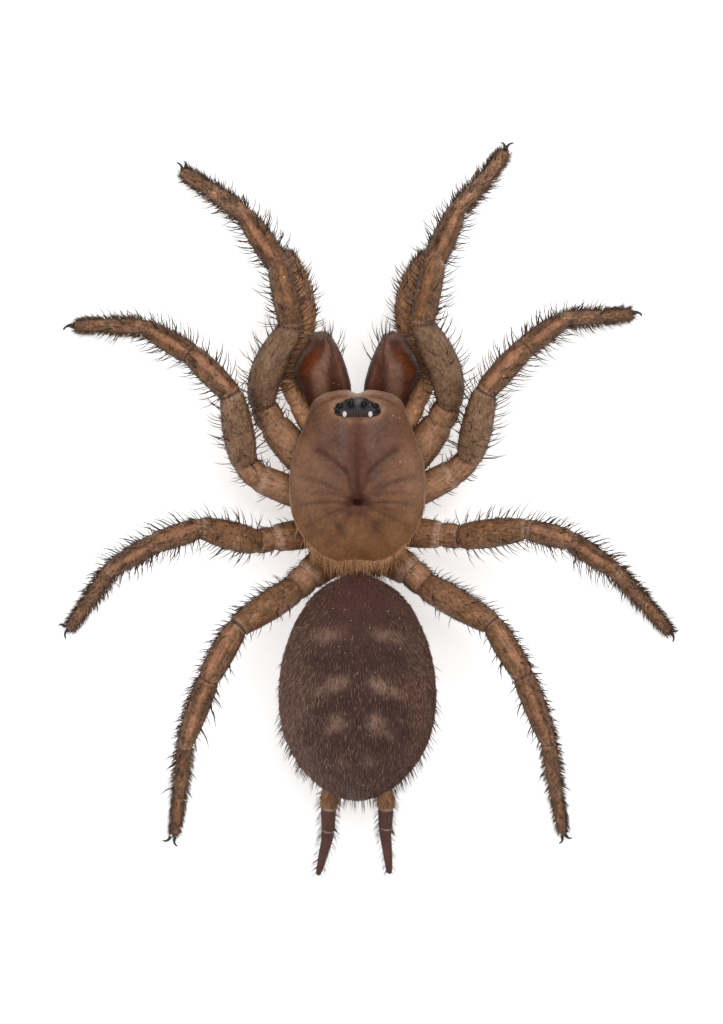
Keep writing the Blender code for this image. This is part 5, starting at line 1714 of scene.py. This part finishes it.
def breast_place(u, v):
    v = np.clip(v, 0, 1)
    y = -1.30 + 2.52 * (1 - np.cos(math.pi * v)) / 2
    half = smooth_through(y, *BREAST_AT) * np.sin(math.pi * v) ** 0.3
    a = 2 * math.pi * u
    c, s = np.cos(a), np.sin(a)
    x = half * np.sign(c) * np.abs(c) ** 0.7
    deep = 0.44 * np.sin(math.pi * v) ** 0.25
    return np.stack([x, y, 1.0 + deep * np.sign(s) * np.abs(s) ** 0.7], axis=1)


def breast_masks(u, v):
    x, y, z = breast_place(u, v).T
    spots = sum(hump(np.abs(x), 0.42, 0.05) * hump(y, at, 0.07) for at in (-0.75, -0.2, 0.3))
    return {"shade": spots * (z < 0.8), "membrane": 0.3 * hump(np.sin(math.pi * v), 0, 0.2)}


breast = wrap("breast_plate", 48, 64, breast_place, under_shell, breast_masks)
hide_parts("sternum")
lip = wrap("lip", 28, 28, tube_place(LIP_PATH, LIP_RADII), under_shell, lambda u, v: {"shade": 0.6})
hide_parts("labium")
waist = wrap("waist", 28, 28, tube_place(WAIST_PATH, WAIST_RADII), under_shell,
             lambda u, v: {"shade": 0.45})
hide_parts("pedicel")
print("underside done")

# %% [markdown]
# ## The body's fine hair
# The shield is nearly bare: a few short brown hairs lie on it, and a golden fringe stands over
# the waist. The jaws carry long curved hairs at their tips and along the inner edges.

# %% Body hair
shield_skin = Skin(carapace_place, 600)
shield_skin.sign = 1.0
test_out = shield_skin.at(np.array([0.3]), np.array([0.3]))[1]
shield_skin.sign = 1.0 if test_out[0, 2] > 0 else -1.0


def lie_inward(root, out, along):
    """Hair on the shield lies towards the pit."""
    inward = np.array([[FOVEA[0], FOVEA[1], 2.1]]) - root
    return inward - out * np.sum(inward * out, axis=1, keepdims=True)


def lie_backward(root, out, along):
    return BACK - out * np.sum(BACK * out, axis=1, keepdims=True) + 0 * root


def lie_forward(root, out, along):
    return -lie_backward(root, out, along)


random = shield_skin.random
u = random.uniform(0, 1, 1100)
v = 0.7 * np.arcsin(np.sqrt(random.uniform(0.02, 0.97, 1100))) / (math.pi / 2)
short = hairs(shield_skin, u, v, 0.07, 70, 0.0035, 0.55, 0.2, 0.3, False, lie_inward, 0.25)
# On the disc u = 0.5 is the front, and u = 0 or 1 the rear. Every third hair is near the middle
u = np.where(np.arange(1300) % 3, random.normal(0, 0.050, 1300), random.normal(0, 0.018, 1300))
v = random.uniform(0.60, 0.715, 1300)
bright = np.where(np.arange(1300) % 3, 0.75, 1.0)
fringe = hairs(shield_skin, u, v, 0.44, 72, 0.0085, bright, 0.3, 0.25, True, lie_backward, 0.42)
# Longer hair reaches over the front of the abdomen
u = np.clip(random.normal(0, 0.055, 800), -0.09, 0.09)
reach = hairs(shield_skin, u, random.uniform(0.64, 0.71, 800), 0.58, 80, 0.0090, 0.66,
              0.2, 0.25, True, lie_backward, 0.35)
coat("carapace_hair", [short], body_hair)
coat("waist_fringe", [fringe, reach], golden_hair)

for word, skin in jaw_skins.items():
    random = skin.random
    u, v = skin.strew(420)
    down = hairs(skin, u, v, 0.09, 70, 0.0045, 0.35, 0.3, 0.25, False, lie_forward, 0.25)
    tip = hairs(skin, random.uniform(0.05, 0.62, 190), random.uniform(0.05, 0.22, 190), 0.13, 55,
                0.006, 0.80, 0.4, 0.3, True, lie_forward, 0.2)
    long_tip = hairs(skin, random.uniform(0.28, 0.58, 11), random.uniform(0.07, 0.30, 11), 0.58, 40,
                     0.0120, 0.08, 0.35, 0.25, True, lie_forward, 0.08)
    inner = hairs(skin, random.normal(0.5, 0.05, 7), random.uniform(0.18, 0.42, 7), 0.52, 46,
                  0.0115, 0.08, 0.35, 0.25, True, lie_forward, 0.08)
    coat("jaw_hair_" + word, [down, tip, long_tip, inner], jaw_hair)

# %% [markdown]
# ## Finish
# The two boxes are kept, to see that the dressed spider stays within the solids' reach.

# %% Sizes and finish
visual_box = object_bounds()
for label, box in (("cad", cad_box), ("visual", visual_box)):
    print(label, [round(c / MM, 2) for corner in box for c in corner])
